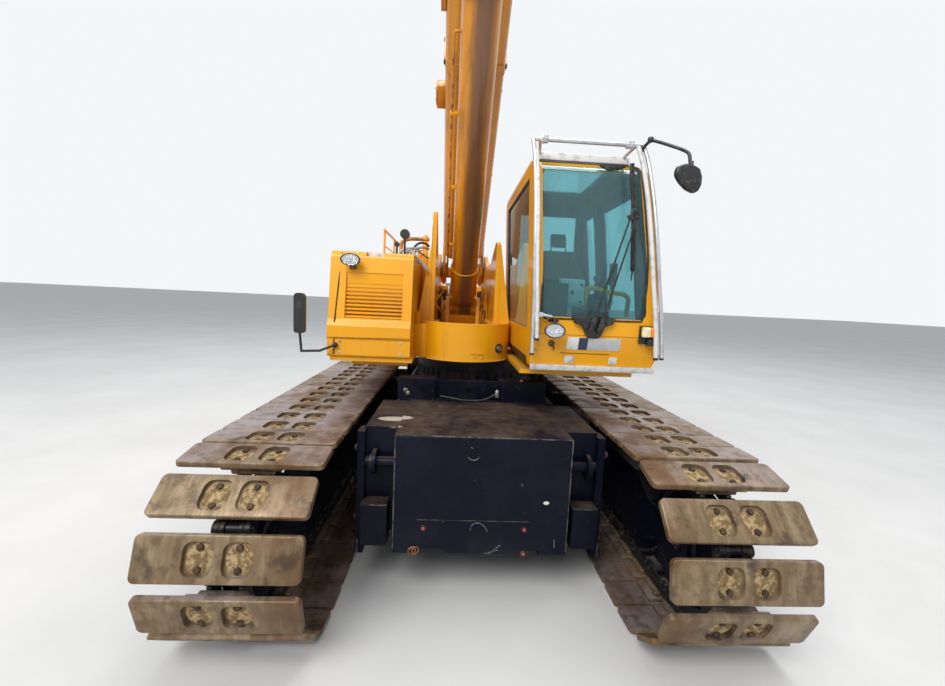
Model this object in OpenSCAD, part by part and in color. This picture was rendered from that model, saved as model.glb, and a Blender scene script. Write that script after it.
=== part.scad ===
// Telescopic crawler crane, parked with its boom raised. Millimetres, Z up.
// The origin is on the ground under the slewing axis, and the front of the crane faces -Y.

/* [Tracks] */
// Width of a track shoe
shoe_w = 900; // [700:10:1000]
// Distance from one track pin to the next
pitch = 260; // [240:1:270]
// Links from one wheel's top to the other wheel's top, along the straight run
run_links = 17.5; // [16.5:1:20.5]
// Links round half of a wheel
turn_links = 5.5; // [5.5:1:6.5]
// Outer face of the shoes above the line of the track pins
shoe_out = 148; // [130:1:160]
// Thickness of a shoe
shoe_t = 36; // [25:1:45]
// Width of the thick middle of a shoe
shoe_mid_w = 380; // [300:10:440]
// Gap between two shoes on the straight run
shoe_gap = 8; // [5:1:20]
// How far the left track's shoes stand round their loop, in links
phase_left = 0.21; // [0:0.01:0.99]
// How far the right track's shoes stand round their loop, in links
phase_right = 0.46; // [0:0.01:0.99]
// Width of the link chain
chain_w = 240; // [200:5:300]
// Depth of the links inside the line of the pins
chain_in = 46; // [35:1:50]
// Distance from the slewing axis to the middle of a track
track_x = 1480; // [1400:10:1700]
// Radius of a bottom roller
roller_r = 105; // [80:1:115]
// Number of bottom rollers on a side
roller_n = 10; // [8:1:11]

/* [Carbody] */
// Half of the width of the carbody between its beams
body_x = 820; // [700:10:900]
// Distance from the slewing axis to the front face of the carbody
body_y = 1040; // [950:10:1100]
// Top of the carbody above the ground
body_top = 1265; // [1225:5:1315]
// Underside of the carbody above the ground
body_z = 505; // [455:5:555]
// Distance from the slewing axis to the middle of a cross beam
beam_y = 760; // [650:10:850]
// Height of a cross beam
beam_h = 430; // [350:10:480]
// Radius of the slewing ring
ring_r = 650; // [600:5:700]

/* [Central ballast] */
// Width of the block that stands forward
block_w = 1290; // [1100:10:1400]
// Width of the ballast behind the block
ballast_w = 1790; // [1600:10:1840]
// Distance from the slewing axis to the face of the block
block_y = 2090; // [1950:10:2200]
// Depth from the block's face back to the wide part
block_step = 220; // [150:10:300]
// Underside of the ballast above the ground
ballast_z = 360; // [325:5:425]
// Top of the ballast above the ground
ballast_top = 1260; // [1175:5:1295]

/* [Turntable] */
// Distance that the boom stands to the side of the slewing axis
boom_x = -150; // [-200:5:0]
// Underside of the turntable above the ground
deck_z = 1615; // [1595:5:1675]
// Radius of the turntable's round nose
nose_r = 505; // [480:5:510]
// Distance from the slewing axis to the front of the nose
nose_y = 880; // [800:10:950]
// Height of the nose
nose_h = 370; // [350:5:400]
// Distance from the slewing axis to the back of the turntable
deck_back = 3150; // [3100:10:3300]
// Thickness of a cheek plate
cheek_t = 45; // [30:1:60]
// Distance from the slewing axis to the front edge of the cheeks
cheek_y = 400; // [350:10:450]
// Distance of the boom's pivot behind the slewing axis
pivot_y = 1650; // [1600:10:1750]
// Height of the boom's pivot
pivot_z = 2625; // [2575:10:2725]
// Radius of the boom's pivot pin
pivot_r = 80; // [60:1:90]

/* [Luffing cylinder] */
// Distance of the cylinder's foot behind the slewing axis
foot_y = 500; // [450:10:600]
// Height of the cylinder's foot
foot_z = 2145; // [2120:5:2200]
// Radius of the cylinder's barrel
barrel_r = 150; // [130:1:160]
// Radius of the rod
rod_r = 95; // [80:1:110]
// Radius of the cylinder's pins
eye_pin_r = 55; // [45:1:60]
// Height of the barrel's end collar over the barrel
collar_h = 14; // [8:1:20]

/* [Boom] */
// Angle of the boom above the ground at rest
boom_angle = 40; // [35:1:45]
// Width of the base section
boom_w = 600; // [560:5:640]
// Underside of the base section under the pivot
boom_low = 120; // [100:5:150]
// Top of the base section over the pivot
boom_high = 660; // [620:5:700]
// Wall of the base section
boom_wall = 12; // [8:1:12]
// Step from one section's outside to the next one's
tele_step = 24; // [23:1:25]
// Wall of a telescopic section
tele_wall = 10; // [8:1:11]
// Length from the pivot to the end of the base section
base_len = 10000; // [9500:50:10200]
// Length that a section stands out of the one around it
tele_out = 170; // [165:1:200]
// Distance of the lug from the pivot, along the boom
lug_s = 4760; // [4700:10:4900]
// Distance of the lug's pin below the pivot's line
lug_e = 620; // [600:5:650]
// Radius of a head sheave
sheave_r = 210; // [180:5:230]

/* [Hook] */
// Length of the rope falls from the head sheaves to the block's sheaves
fall_l = 1000; // [800:10:1100]
// Radius of the hoist rope
rope_r = 10; // [8:0.5:12]

/* [Cab] */
// Left side of the cab at its foot
cab_left = 365; // [360:5:400]
// Right side of the cab at its widest
cab_right = 1400; // [1350:5:1450]
// Distance from the slewing axis to the foot of the cab's front
cab_front_y = 1640; // [1550:10:1700]
// Underside of the cab
cab_z = 1695; // [1675:5:1725]
// Top of the cab
cab_top = 3445; // [3375:5:3480]
// Thickness of the cab's walls
cab_wall = 50; // [35:1:60]
// Thickness of the glass
glass_t = 6; // [4:1:8]

/* [Machinery] */
// Width of the housing beside the boom
house_w = 760; // [700:10:780]
// Distance from the slewing axis to the face of the housing
house_y = 1100; // [1000:10:1200]
// Top of the housing above the ground
house_top = 2635; // [2575:10:2725]
// Number of louvres in the housing's face
louvre_n = 12; // [8:1:14]
// Radius of the counterweight's back, from the slewing axis
tail_r = 3950; // [3850:10:4100]
// Half of the counterweight's width
tail_x = 1450; // [1400:10:1500]
// Underside of the counterweight
tail_z = 1335; // [1325:5:1375]
// Top of the counterweight
tail_top = 2515; // [2375:10:2575]
// Radius of the hoist drum
drum_r = 230; // [200:5:250]

/* [Hidden] */
$fn = 48;

yellow = [0.93, 0.66, 0.13];
navy = [0.07, 0.08, 0.14];
worn_steel = [0.62, 0.57, 0.48];
black = [0.08, 0.08, 0.08];
silver = [0.75, 0.76, 0.78];
seat_gap = 0.3;      // clearance of a piece that rests on another
bearing_gap = 0.5;   // clearance between the two rings of the slewing bearing
run_gap = 5;         // clearance of a piece that moves past another
pin_gap = 0.05;      // clearance of a pin in its bore

pitch_r = pitch/(2*sin(90/turn_links));
wheel_y = run_links*pitch/2;
axle_z = pitch_r + shoe_out;
links = 2*(run_links + turn_links);
wheel_r = pitch_r*cos(90/turn_links) - chain_in - seat_gap;

// Outward normal of the edge from p to q of a counter-clockwise outline
function normal(p, q) = let(d = q - p) [d[1], -d[0]]/norm(d);
function xy(p) = [p[0], p[1]];
// The outline moved inwards by d, with the corner radii that go with it
function inset(pts, d) = let(n = len(pts)) [
  for (i = [0:n - 1]) let(
    p = xy(pts[i]), a = normal(xy(pts[(i + n - 1)%n]), p), b = normal(p, xy(pts[(i + 1)%n])),
    q = p - d*(a + b)/(1 + a*b)
  ) [q[0], q[1], max(0, pts[i][2] - d)]
];
// The points of an outline whose corners [x, y, radius] are rounded in steps
function rounded(pts, steps = 5) = let(n = len(pts)) [
  for (i = [0:n - 1]) let(
    p = xy(pts[i]), r = pts[i][2],
    a = normal(xy(pts[(i + n - 1)%n]), p), b = normal(p, xy(pts[(i + 1)%n])),
    turn = atan2(a[0]*b[1] - a[1]*b[0], a*b), side = turn < 0 ? -1 : 1,
    c = p - side*r*(a + b)/(1 + a*b), start = atan2(a[1], a[0])
  ) each (r <= 0 ? [p] : [
    for (k = [0:steps]) c + side*r*[cos(start + turn*k/steps), sin(start + turn*k/steps)]
  ])
];
// A side view [y, z] made solid from x0 to x1
module across(x0, x1) {
  translate([x0, 0, 0]) rotate([90, 0, 90]) linear_extrude(x1 - x0) children();
}
// A front view [x, z] made solid from y0 to y1
module along(y0, y1) {
  translate([0, y1, 0]) rotate([90, 0, 0]) linear_extrude(y1 - y0) children();
}
// A round bar along X from x0 to x1 at y, z
module bar(x0, x1, y, z, r) {
  translate([x0, y, z]) rotate([0, 90, 0]) cylinder(h = x1 - x0, r = r);
}
module box(a, b) {
  translate(a) cube(b - a);
}
// A round tube between two points
module rod(a, b, r) {
  d = b - a;
  translate(a) rotate([0, acos(d[2]/norm(d)), atan2(d[1], d[0])]) cylinder(h = norm(d), r = r);
}
// A tube through a list of points, with round knuckles
knuckle = 1.06;
module tube(pts, r) {
  for (i = [0:len(pts) - 2]) rod(pts[i], pts[i + 1], r);
  for (p = pts) translate(p) sphere(r = r*knuckle, $fn = 32);
}

// A point at t links along the track, o outside the line of the pins, as [y, z] about the axles
function track_point(t0, o = 0) = let(
  turn = 180/turn_links, r = pitch_r + o, back = run_links + turn_links, t = t0%links
)
  t <= run_links ? [wheel_y - t*pitch, r] :
  t <= back ? let(a = 90 + (t - run_links)*turn) [r*cos(a) - wheel_y, r*sin(a)] :
  t <= back + run_links ? [(t - back)*pitch - wheel_y, -r] :
  let(a = (t - back - run_links)*turn - 90) [wheel_y + r*cos(a), r*sin(a)];
module track_side(x, phase) {
  outer = [for (i = [0:links - 1]) track_point(i + phase, chain_in)];
  inner = [for (i = [0:links - 1]) track_point(i + phase, -chain_in)];
  half = pitch/2 - shoe_gap/2;
  translate([x, 0, axle_z]) {
    across(-chain_w/2, chain_w/2) difference() {
      polygon(outer);
      polygon(inner);
    }
    for (i = [0:links - 1]) {
      p = track_point(i + phase);
      q = track_point((i + 1)%links + phase);
      d = q - p;
      translate([0, (p[0] + q[0])/2, (p[1] + q[1])/2]) rotate([atan2(d[1], d[0]), 0, 0]) {
        across(-shoe_w/2, shoe_w/2) shoe_profile(half);
        // Thick middle that bolts on the links
        across(-shoe_mid_w/2, shoe_mid_w/2) polygon([
          [-half + 16, -shoe_out + shoe_t - 4], [half - 16, -shoe_out + shoe_t - 4],
          [half - 38, -chain_in + 8], [38 - half, -chain_in + 8]
        ]);
      }
    }
  }
}
// Side view of a shoe's plate, its outer edges bevelled
module shoe_profile(half) {
  low = -shoe_out;
  polygon([
    [-half, low + shoe_t], [-half, low + 10], [-half + 14, low],
    [half - 14, low], [half, low + 10], [half, low + shoe_t]
  ]);
}
module track_left() {
  color(worn_steel) track_side(-track_x, phase_left);
}
module track_right() {
  color(worn_steel) track_side(track_x, phase_right);
}

module track_frame(side) {
  beam_r = chain_w/2 - 15;
  low = axle_z - pitch_r + chain_in;
  roller_z = low + roller_r + seat_gap;
  top_r = 65;
  top_z = axle_z + pitch_r - chain_in - top_r - seat_gap;
  fork_y = wheel_y - wheel_r - 60;
  beam_low = low + 190;
  beam_top = low + 500;
  translate([side*track_x, 0, 0]) {
    // Box beam with a sloped top at both ends
    across(-beam_r, beam_r) polygon(rounded([
      [-fork_y, beam_low, 0], [fork_y, beam_low, 0], [fork_y, beam_top, 0],
      [fork_y - 260, top_z - top_r - 60, 60],
      [260 - fork_y, top_z - top_r - 60, 60], [-fork_y, beam_top, 0]
    ]));
    // Bottom rollers between their rails
    for (x = [-beam_r, beam_r - 22])
      box([x, -fork_y + 40, roller_z - 42], [x + 22, fork_y - 40, beam_low + 10]);
    for (i = [0:roller_n - 1]) {
      y = (i - (roller_n - 1)/2)*2*(fork_y - 190)/(roller_n - 1);
      bar(-beam_r + 30, beam_r - 30, y, roller_z, roller_r);
      bar(-beam_r - 8, beam_r + 8, y, roller_z, 36);
    }
    for (y = [-900, 900]) {
      bar(-beam_r + 10, beam_r - 10, y, top_z, top_r);
      box([-40, y - 60, beam_top + 60], [40, y + 60, top_z]);
    }
    // Fork that carries the idler, and the bracket of the sprocket
    for (x = [-beam_r, beam_r - 26]) {
      across(x, x + 26) polygon(rounded([
        [-wheel_y - 130, axle_z - 110, 60], [-fork_y + 20, beam_low + 70, 0], [-fork_y + 20, beam_top, 0],
        [-wheel_y - 130, axle_z + 110, 60]
      ]));
      across(x, x + 26) polygon(rounded([
        [fork_y - 20, beam_low + 70, 0], [wheel_y + 150, axle_z - 150, 90],
        [wheel_y + 150, axle_z + 150, 90], [fork_y - 20, beam_top, 0]
      ]));
    }
    bar(-beam_r - 12, beam_r + 12, -wheel_y, axle_z, 60);
    bar(-beam_r, beam_r, wheel_y, axle_z, 90);
    // Final drive on the inner side of the sprocket
    mirror([side > 0 ? 0 : 1, 0, 0]) {
      bar(-beam_r - 190, -beam_r + 10, wheel_y, axle_z, 215);
      bar(-beam_r - 250, -beam_r - 180, wheel_y, axle_z, 150);
      // Sockets that take the carbody's cross beams
      for (y = [-beam_y, beam_y])
        box([-beam_r - 90, y - 230, body_z - 20], [-beam_r + 10, y + 230, body_z + beam_h + 20]);
    }
  }
}
module track_frame_left() {
  color(navy) track_frame(-1);
}
module track_frame_right() {
  color(navy) track_frame(1);
}

module sprockets() {
  web = chain_w/2 - 15 - 26 - 6;
  tooth_a = 90/turn_links;
  color(navy) for (side = [-1, 1]) translate([side*track_x, wheel_y, axle_z])
    rotate([2*tooth_a*(side < 0 ? phase_left : phase_right), 0, 0]) difference() {
    across(-web, web) polygon([
      for (i = [0:4*turn_links - 1], k = [[-0.2, -45], [0.2, -45], [0.36, 0], [0.64, 0]]) let(
        a = (i + k[0])*tooth_a
      ) (wheel_r + k[1])*[cos(a), sin(a)]
    ]);
    bar(-web - 1, web + 1, 0, 0, 90 + seat_gap);
    for (i = [0:5]) rotate([60*i, 0, 0]) bar(-web - 1, web + 1, 0, 240, 62);
  }
}

module idlers() {
  web = chain_w/2 - 15 - 26 - 6;
  color(navy) for (side = [-1, 1]) translate([side*track_x, -wheel_y, axle_z]) rotate([0, 90, 0])
    rotate_extrude($fn = 96) polygon([
      [60 + seat_gap, -web], [130, -web], [150, -web + 22], [wheel_r - 70, -web + 22],
      [wheel_r - 40, -web], [wheel_r, -web], [wheel_r, web], [wheel_r - 40, web],
      [wheel_r - 70, web - 22], [150, web - 22], [130, web], [60 + seat_gap, web]
    ]);
}

module carbody() {
  inner = track_x - chain_w/2 + 15 - 90 - seat_gap;
  color(navy) {
    difference() {
      along(-body_y, body_y) polygon(rounded([
        [-body_x, body_z + 120, 40], [-body_x + 160, body_z, 40], [body_x - 160, body_z, 40],
        [body_x, body_z + 120, 40], [body_x, body_top - 120, 40], [body_x - 90, body_top, 30],
        [90 - body_x, body_top, 30], [-body_x, body_top - 120, 40]
      ]));
      translate([0, 0, body_z - 1]) cylinder(h = body_top, r = ring_r - 120);
    }
    // Cross beams that slide into the track frames
    for (y = [-beam_y, beam_y])
      box([-inner, y - 190, body_z + 10], [inner, y + 190, body_z + beam_h]);
    // Boxes and cross plate in front of the ring
    for (x = [[-764, -406], [210, 660]])
      box([x[0], -body_y + 10, body_top - 10], [x[1], -body_y + 190, body_top + 198]);
    difference() {
      box([-410, -body_y + 60, body_top - 10], [215, -body_y + 85, body_top + 185]);
      translate([-81, -body_y + 100, body_top + 82]) rotate([90, 0, 0]) cylinder(h = 60, r = 32);
    }
  }
}

module slew_ring() {
  low = body_top + seat_gap;
  color(black) translate([0, 0, low]) difference() {
    union() {
      cylinder(h = 60, r = ring_r + 40, $fn = 96);
      translate([0, 0, 50]) cylinder(h = deck_z - low - 50 - bearing_gap, r = ring_r, $fn = 96);
      for (i = [0:47])
        rotate([0, 0, 7.5*i]) translate([ring_r - 20, 0, 120]) cylinder(h = 90, r = 34, $fn = 6);
    }
    translate([0, 0, -1]) cylinder(h = 500, r = ring_r - 120, $fn = 96);
  }
}

// Ballast that hangs on the carbody's end, seen with its block towards -Y
module ballast() {
  back = body_y + seat_gap;
  wide_y = block_y - block_step;
  ledge_w = (ballast_w - block_w)/2 - 55;
  difference() {
    union() {
      across(-block_w/2, block_w/2) polygon(rounded([
        [-block_y, ballast_z, 20], [-back, ballast_z, 0],
        [-back, ballast_top, 0], [-block_y, ballast_top, 20]
      ]));
      across(-ballast_w/2, ballast_w/2) polygon([
        [-wide_y, ballast_z + 60], [-back, ballast_z + 60],
        [-back, ballast_top - 12], [-wide_y, ballast_top - 12]
      ]);
      for (s = [-1, 1]) {
        // Side plate, and the low block with a ledge between it and the middle
        box([s*(ballast_w/2 + 21) - 27, -wide_y - 60, ballast_z - 95],
            [s*(ballast_w/2 + 21) + 27, -wide_y + 90, ballast_top - 36]);
        box([s*(block_w + ballast_w + 110)/4 - ledge_w/2, -block_y + 80, ballast_z + 15],
            [s*(block_w + ballast_w + 110)/4 + ledge_w/2, -wide_y + 1, ballast_top - 568]);
        // Lifting pin with its washer
        bar(s > 0 ? block_w/2 - 1 : -ballast_w/2 + 20, s > 0 ? ballast_w/2 - 20 : -block_w/2 + 1,
            -wide_y - 60, ballast_top - 262, 38);
        bar(s*(block_w/2 + 165) - 14, s*(block_w/2 + 165) + 14, -wide_y - 60, ballast_top - 262, 95);
      }
    }
    // Handling pockets in the underside
    for (x = [-350, 350]) box([x - 90, -block_y - 1, ballast_z - 1], [x + 90, -back + 1, ballast_z + 45]);
  }
}
module front_ballast() {
  color(navy) ballast();
}
module rear_ballast() {
  color(navy) mirror([0, 1, 0]) ballast();
}

cheek_in = boom_w/2 + 25;
eye_w = 2*(barrel_r + collar_h);
// Height of the turntable's sloping back at y
slope_y = 2400;
lug_t = 45; // thickness of the luffing cylinder's lugs
function deck_top(y) = deck_z + 260 - 80*(y - slope_y)/(deck_back - slope_y);
module turntable() {
  low = deck_z;
  foot_in = eye_w/2 + run_gap;
  recess_x = foot_in + lug_t + 55;
  // Cheeks and the front posts on them: [side, height of the post]
  posts = [[-1, pivot_z + 540], [1, pivot_z + 250]];
  color(yellow) translate([boom_x, 0, 0]) {
    difference() {
      union() {
        translate([0, nose_r - nose_y, low]) cylinder(h = nose_h, r = nose_r, $fn = 96);
        box([-nose_r, nose_r - nose_y, low], [nose_r, 1500, low + nose_h]);
        across(-nose_r, nose_r) polygon([
          [1400, low], [deck_back, low], [deck_back, deck_top(deck_back)],
          [slope_y, deck_top(slope_y)], [1400, low + nose_h]
        ]);
      }
      // Recess that the luffing cylinder stands in, closed in front by the nose
      translate([0, 0, low + 80]) linear_extrude(nose_h) polygon(rounded([
        [-recess_x, 100 - nose_y, 130], [recess_x, 100 - nose_y, 130], [recess_x, 1000, 0],
        [-recess_x, 1000, 0]
      ]));
      translate([-boom_x, 0, low - 1]) cylinder(h = 82, r = ring_r - 200);
      // Round socket in the nose
      translate([330, -nose_y + 200, low + nose_h/2 - 50]) rotate([90, 0, 30]) cylinder(h = 400, r = 32);
    }
    // Cheeks that carry the boom's pivot
    for (p = posts) {
      s = p[0];
      across(s > 0 ? cheek_in : -cheek_in - cheek_t, s > 0 ? cheek_in + cheek_t : -cheek_in)
        polygon(rounded([
          [-cheek_y, low + 100, 0], [2500, low + 100, 0], [2350, low + 420, 120],
          [pivot_y + 260, pivot_z + 60, 120],
          [pivot_y + 120, pivot_z + 260, 120], [pivot_y - 160, pivot_z + 260, 120],
          [pivot_y - 700, pivot_z + 60, 300], [300, pivot_z + 60, 200], [120 - cheek_y, p[1], 60],
          [-cheek_y, p[1] - 30, 30]
        ]));
      // Gusset that widens towards the nose, seen from the front
      along(-cheek_y, 40 - cheek_y) polygon([
        [s*(cheek_in + cheek_t - 1), low + 100], [s*(nose_r - 2), low + 100],
        [s*(nose_r - 2), low + nose_h],
        [s*(cheek_in + cheek_t - 1), pivot_z + 230]
      ]);
      bar(s > 0 ? cheek_in : -cheek_in - cheek_t - 40, s > 0 ? cheek_in + cheek_t + 40 : -cheek_in,
          pivot_y, pivot_z, pivot_r + 90);
    }
    bar(-cheek_in - cheek_t - 70, cheek_in + cheek_t + 70, pivot_y, pivot_z, pivot_r);
    // Lugs and pin of the luffing cylinder's foot
    for (s = [-1, 1]) across(s > 0 ? foot_in : -foot_in - lug_t, s > 0 ? foot_in + lug_t : -foot_in)
      polygon(rounded([
        [foot_y - 170, low + 60, 0], [foot_y + 330, low + 60, 0], [foot_y + 120, foot_z + 115, 90],
        [foot_y - 110, foot_z + 115, 90]
      ]));
    bar(-foot_in - lug_t - 30, foot_in + lug_t + 30, foot_y, foot_z, eye_pin_r);
    // Cross box behind the cylinder, which ties the cheeks together
    box([-cheek_in - 1, 1010, low + 200], [cheek_in + 1, 1360, low + 560]);
  }
  color(yellow) {
    // Platforms that carry the housings and the cab
    box([boom_x - nose_r - house_w + 20, -house_y + 30, low],
        [boom_x - nose_r + 20, deck_back - 60, low + 40]);
    box([boom_x + nose_r - 20, -cab_front_y + 260, low], [cab_right - 60, deck_back - 60, low + 40]);
    for (y = [-900, -200, 900, 2100])
      box([ring_r + 60, y, low - 90], [cab_right - 160, y + 90, low + 10]);
    // Lugs and pins of the cab's tilt hinge
    for (x = tilt_x) {
      for (e = [x - run_gap - 24, x + tilt_w + run_gap]) across(e, e + 24) polygon(rounded([
        [tilt_y - 60, low + 30, 0], [tilt_y + 90, low + 30, 0], [tilt_y + 34, tilt_z + 34, 30],
        [tilt_y - 34, tilt_z + 34, 30]
      ]));
      bar(x - run_gap - 34, x + tilt_w + run_gap + 34, tilt_y, tilt_z, tilt_r);
    }
    for (y = [-700, 300, 1400, 2500])
      box([boom_x - nose_r - house_w + 140, y, low - 90], [-ring_r - 60, y + 90, low + 10]);
  }
}

house_x1 = boom_x - nose_r - seat_gap;
house_x0 = house_x1 - house_w;
house_low = deck_z + 40 + seat_gap;
slot_x = house_x0 + 148;
slot_w = 525;
slot_low = house_low + 362;
slot_step = 35;
// Side view of the housing: its face leans back over a step
function house_side(back) = [
  [-house_y, house_low, 25], [back, house_low, 25], [back, house_top, 60],
  [-house_y + 110, house_top, 70], [-house_y + 20, house_low + 345, 30],
  [-house_y - 15, house_low + 290, 20],
  [-house_y - 15, house_low + 180, 10], [-house_y, house_low + 170, 10]
];
module side_housing() {
  back = 680;
  color(yellow) difference() {
    across(house_x0, house_x1) polygon(rounded(house_side(back)));
    // Recess that holds the louvres
    box([slot_x, -house_y - 50, slot_low],
    [slot_x + slot_w, -house_y + 130, slot_low + louvre_n*slot_step]);
    // Notch in the top edge
    box([house_x0 + 320, -house_y - 20, house_top - 45],
        [house_x0 + 480, -house_y + 190, house_top + 10]);
    // Gap lines of the door in the outer side
    for (y = [-house_y + 260, back - 60])
      box([house_x0 - 1, y, house_low + 60], [house_x0 + 8, y + 8, house_top - 60]);
    box([house_x0 - 1, -house_y + 260, house_top - 68], [house_x0 + 8, back - 60, house_top - 60]);
  }
}
module housing_grille() {
  color(yellow) across(slot_x + seat_gap, slot_x + slot_w - seat_gap) {
    for (i = [0:louvre_n - 1]) polygon([
      [-house_y + 40 + i*5, slot_low + i*slot_step + 4],
      [-house_y + 100 + i*2, slot_low + i*slot_step + 14],
      [-house_y + 100 + i*2, slot_low + i*slot_step + 30],
      [-house_y + 40 + i*5, slot_low + i*slot_step + 20]
    ]);
    polygon([
      [-house_y + 90, slot_low + seat_gap], [-house_y + 130 - seat_gap, slot_low + seat_gap],
      [-house_y + 130 - seat_gap, slot_low + louvre_n*slot_step - seat_gap],
      [-house_y + 90, slot_low + louvre_n*slot_step - seat_gap]
    ]);
  }
}

hood_y = 700;
hood_back = 3080;
module engine_hood() {
  low = house_low;
  wall = 40;
  color(yellow) difference() {
    along(hood_y, hood_back) polygon(rounded([
      [house_x0, low, 10], [house_x1, low, 10],
      [house_x1, house_top + 60, 60], [house_x0, house_top + 60, 140]
    ]));
    box([house_x0 + wall, hood_y + wall, low + wall],
    [house_x1 - wall, hood_back - wall, house_top - wall]);
    // Louvred openings in the outer side
    for (j = [0:1], i = [0:8]) box([house_x0 - 1, 1000 + j*900, low + 260 + i*60],
                                   [house_x0 + wall + 1, 1600 + j*900, low + 288 + i*60]);
  }
  color(black) {
    translate([house_x1 - 220, hood_back - 420, house_top + 20]) cylinder(h = 260, r = 62);
    translate([house_x1 - 220, hood_back - 420, house_top + 270]) rotate([30, 0, 0])
      cylinder(h = 90, r = 55);
  }
}
module engine_block() {
  color(black) box([house_x0 + 120, hood_y + 420, house_low + 40 + seat_gap],
                   [house_x1 - 110, hood_back - 620, house_low + 760]);
}
tank_x0 = boom_x + nose_r + 20;
tank_top = 2355;
module tank_hood() {
  low = house_low;
  color(yellow) difference() {
    along(hood_y, hood_back) polygon(rounded([
      [tank_x0, low, 10], [cab_right - 60, low, 10],
      [cab_right - 60, tank_top, 120], [tank_x0, tank_top, 40]
    ]));
    for (y = [1400, 2200]) box([cab_right - 68, y, low + 80], [cab_right - 59, y + 8, tank_top - 100]);
    // Two steps cut in the outer corner
    for (k = [0:1]) box([cab_right - 260, hood_y - 1, low + 180 + k*300],
                        [cab_right, hood_y + 180, low + 330 + k*300]);
  }
}

module counterweight() {
  layers = 3;
  layer_h = (tail_top - tail_z)/layers;
  pocket_x = tail_x - 300;
  pocket_r = 75;
  pocket_y = (deck_back + sqrt(pow(tail_r, 2) - pow(pocket_x + pocket_r, 2)))/2;
  color(yellow) difference() {
    union() {
      for (i = [0:layers - 1]) translate([0, 0, tail_z + i*layer_h]) linear_extrude(layer_h)
        intersection() {
          circle(r = tail_r - (i == 1 ? 14 : 0), $fn = 160);
          translate([-tail_x, deck_back + seat_gap]) square([2*tail_x, tail_r]);
        }
    }
    // Room for the hoist drum
    box([boom_x - 420, deck_back - 1, tail_top - 420],
        [boom_x + 420, deck_back + 0.65*(tail_r - deck_back), tail_top + 1]);
    // Lifting pockets on the top
    for (x = [-pocket_x, pocket_x]) translate([x, pocket_y, tail_top - 90]) cylinder(h = 200, r = pocket_r);
  }
  color(yellow) for (x = [-pocket_x, pocket_x])
    bar(x - pocket_r - 5, x + pocket_r + 5, pocket_y, tail_top - 40, 22);
}

drum_y = 2800;
drum_z = 2255;
drum_half = 300;
module winch_frame() {
  t = 36;
  color(yellow) translate([boom_x, 0, 0]) {
    for (x = [-drum_half - run_gap - t, drum_half + run_gap]) across(x, x + t) polygon(rounded([
      [drum_y - 300, deck_top(drum_y - 300) + seat_gap, 0],
      [drum_y + 300, deck_top(drum_y + 300) + seat_gap, 0],
      [drum_y + 300, drum_z + 120, 90], [drum_y + 150, drum_z + 260, 90],
      [drum_y - 150, drum_z + 260, 90], [drum_y - 300, drum_z + 60, 60]
    ]));
    bar(-drum_half - run_gap - t - 40, -drum_half - run_gap, drum_y, drum_z, 150);
    bar(-drum_half - run_gap - 1, drum_half + run_gap + 1, drum_y, drum_z, 50);
    box([-drum_half - 30, drum_y - 295, deck_top(drum_y - 295) + seat_gap],
        [drum_half + 30, drum_y - 250, deck_z + 420]);
  }
}
module hoist_drum() {
  color(silver) translate([boom_x, drum_y, drum_z]) rotate([0, 90, 0]) difference() {
    union() {
      translate([0, 0, -drum_half]) cylinder(h = 25, r = drum_r + 90);
      translate([0, 0, drum_half - 25]) cylinder(h = 25, r = drum_r + 90);
      translate([0, 0, -drum_half]) cylinder(h = 2*drum_half, r = drum_r);
    }
    translate([0, 0, -drum_half - 1]) cylinder(h = 2*drum_half + 2, r = 50 + pin_gap);
  }
}

module handrails() {
  r = 15;
  rail_h = 420;
  rail_l = hood_back - hood_y - 480;
  top = house_top + 60;
  color(yellow) {
    for (side = [0, 1]) {
      x = side == 0 ? house_x0 + 170 : cab_right - 270;
      low = side == 0 ? top + seat_gap : tank_top + seat_gap;
      for (i = [0:2]) translate([x, hood_back - 230 - i*rail_l/2, low]) cylinder(h = rail_h, r = r);
      translate([x, hood_back - 230 + r + 5, low + rail_h]) rotate([90, 0, 0])
        cylinder(h = rail_l + 2*r + 10, r = r + 3);
      translate([x, hood_back - 230, low + rail_h/2]) rotate([90, 0, 0]) cylinder(h = rail_l, r = r - 4);
    }
  }
}
module deck_mirror() {
  arm_y = -house_y - 24 - seat_gap;
  x = house_x0 + 20;
  color(black) {
    tube([
      [x + 60, arm_y, house_low + 110], [x - 60, arm_y - 60, house_low + 60],
      [x - 200, arm_y - 120, house_low + 60], [x - 215, arm_y - 125, house_low + 240]
    ], 11);
    translate([x + 60, arm_y, house_low + 110]) sphere(r = 24, $fn = 32);
    translate([x - 215, arm_y - 125, house_low + 240]) along(-22, 22) polygon(rounded([
      [-45, -20, 25], [50, -20, 25], [50, 330, 35], [-45, 330, 35]
    ]));
  }
}
// Lamps on posts on the housing: [x, y, height of the post, lamp's radius]
lamps = [[house_x1 - 212, -600, 100, 26], [house_x1 - 134, -590, 185, 48]];
module deck_lamps() {
  color(black) for (l = lamps) {
    translate([l[0], l[1], house_top + seat_gap]) cylinder(h = l[2], r = 11);
    translate([l[0], l[1], house_top + l[2] + l[3] - 4]) rotate([90, 0, 0])
      cylinder(h = 1.2*l[3], r = l[3], center = true);
  }
}

// Front view [x, z, radius] of the cab, which narrows towards its roof
cab_face = [
  [cab_left, cab_z, 60], [cab_right - 40, cab_z, 60], [cab_right, cab_z + 130, 100],
  [cab_right - 60, cab_z + 600, 200], [cab_right - 150, cab_z + 1390, 400], [cab_right - 215, cab_top, 110],
  [cab_left - 55, cab_top, 90], [cab_left - 50, cab_z + 1500, 60], [cab_left, cab_z + 420, 60]
];
cab_back = 80;
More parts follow.
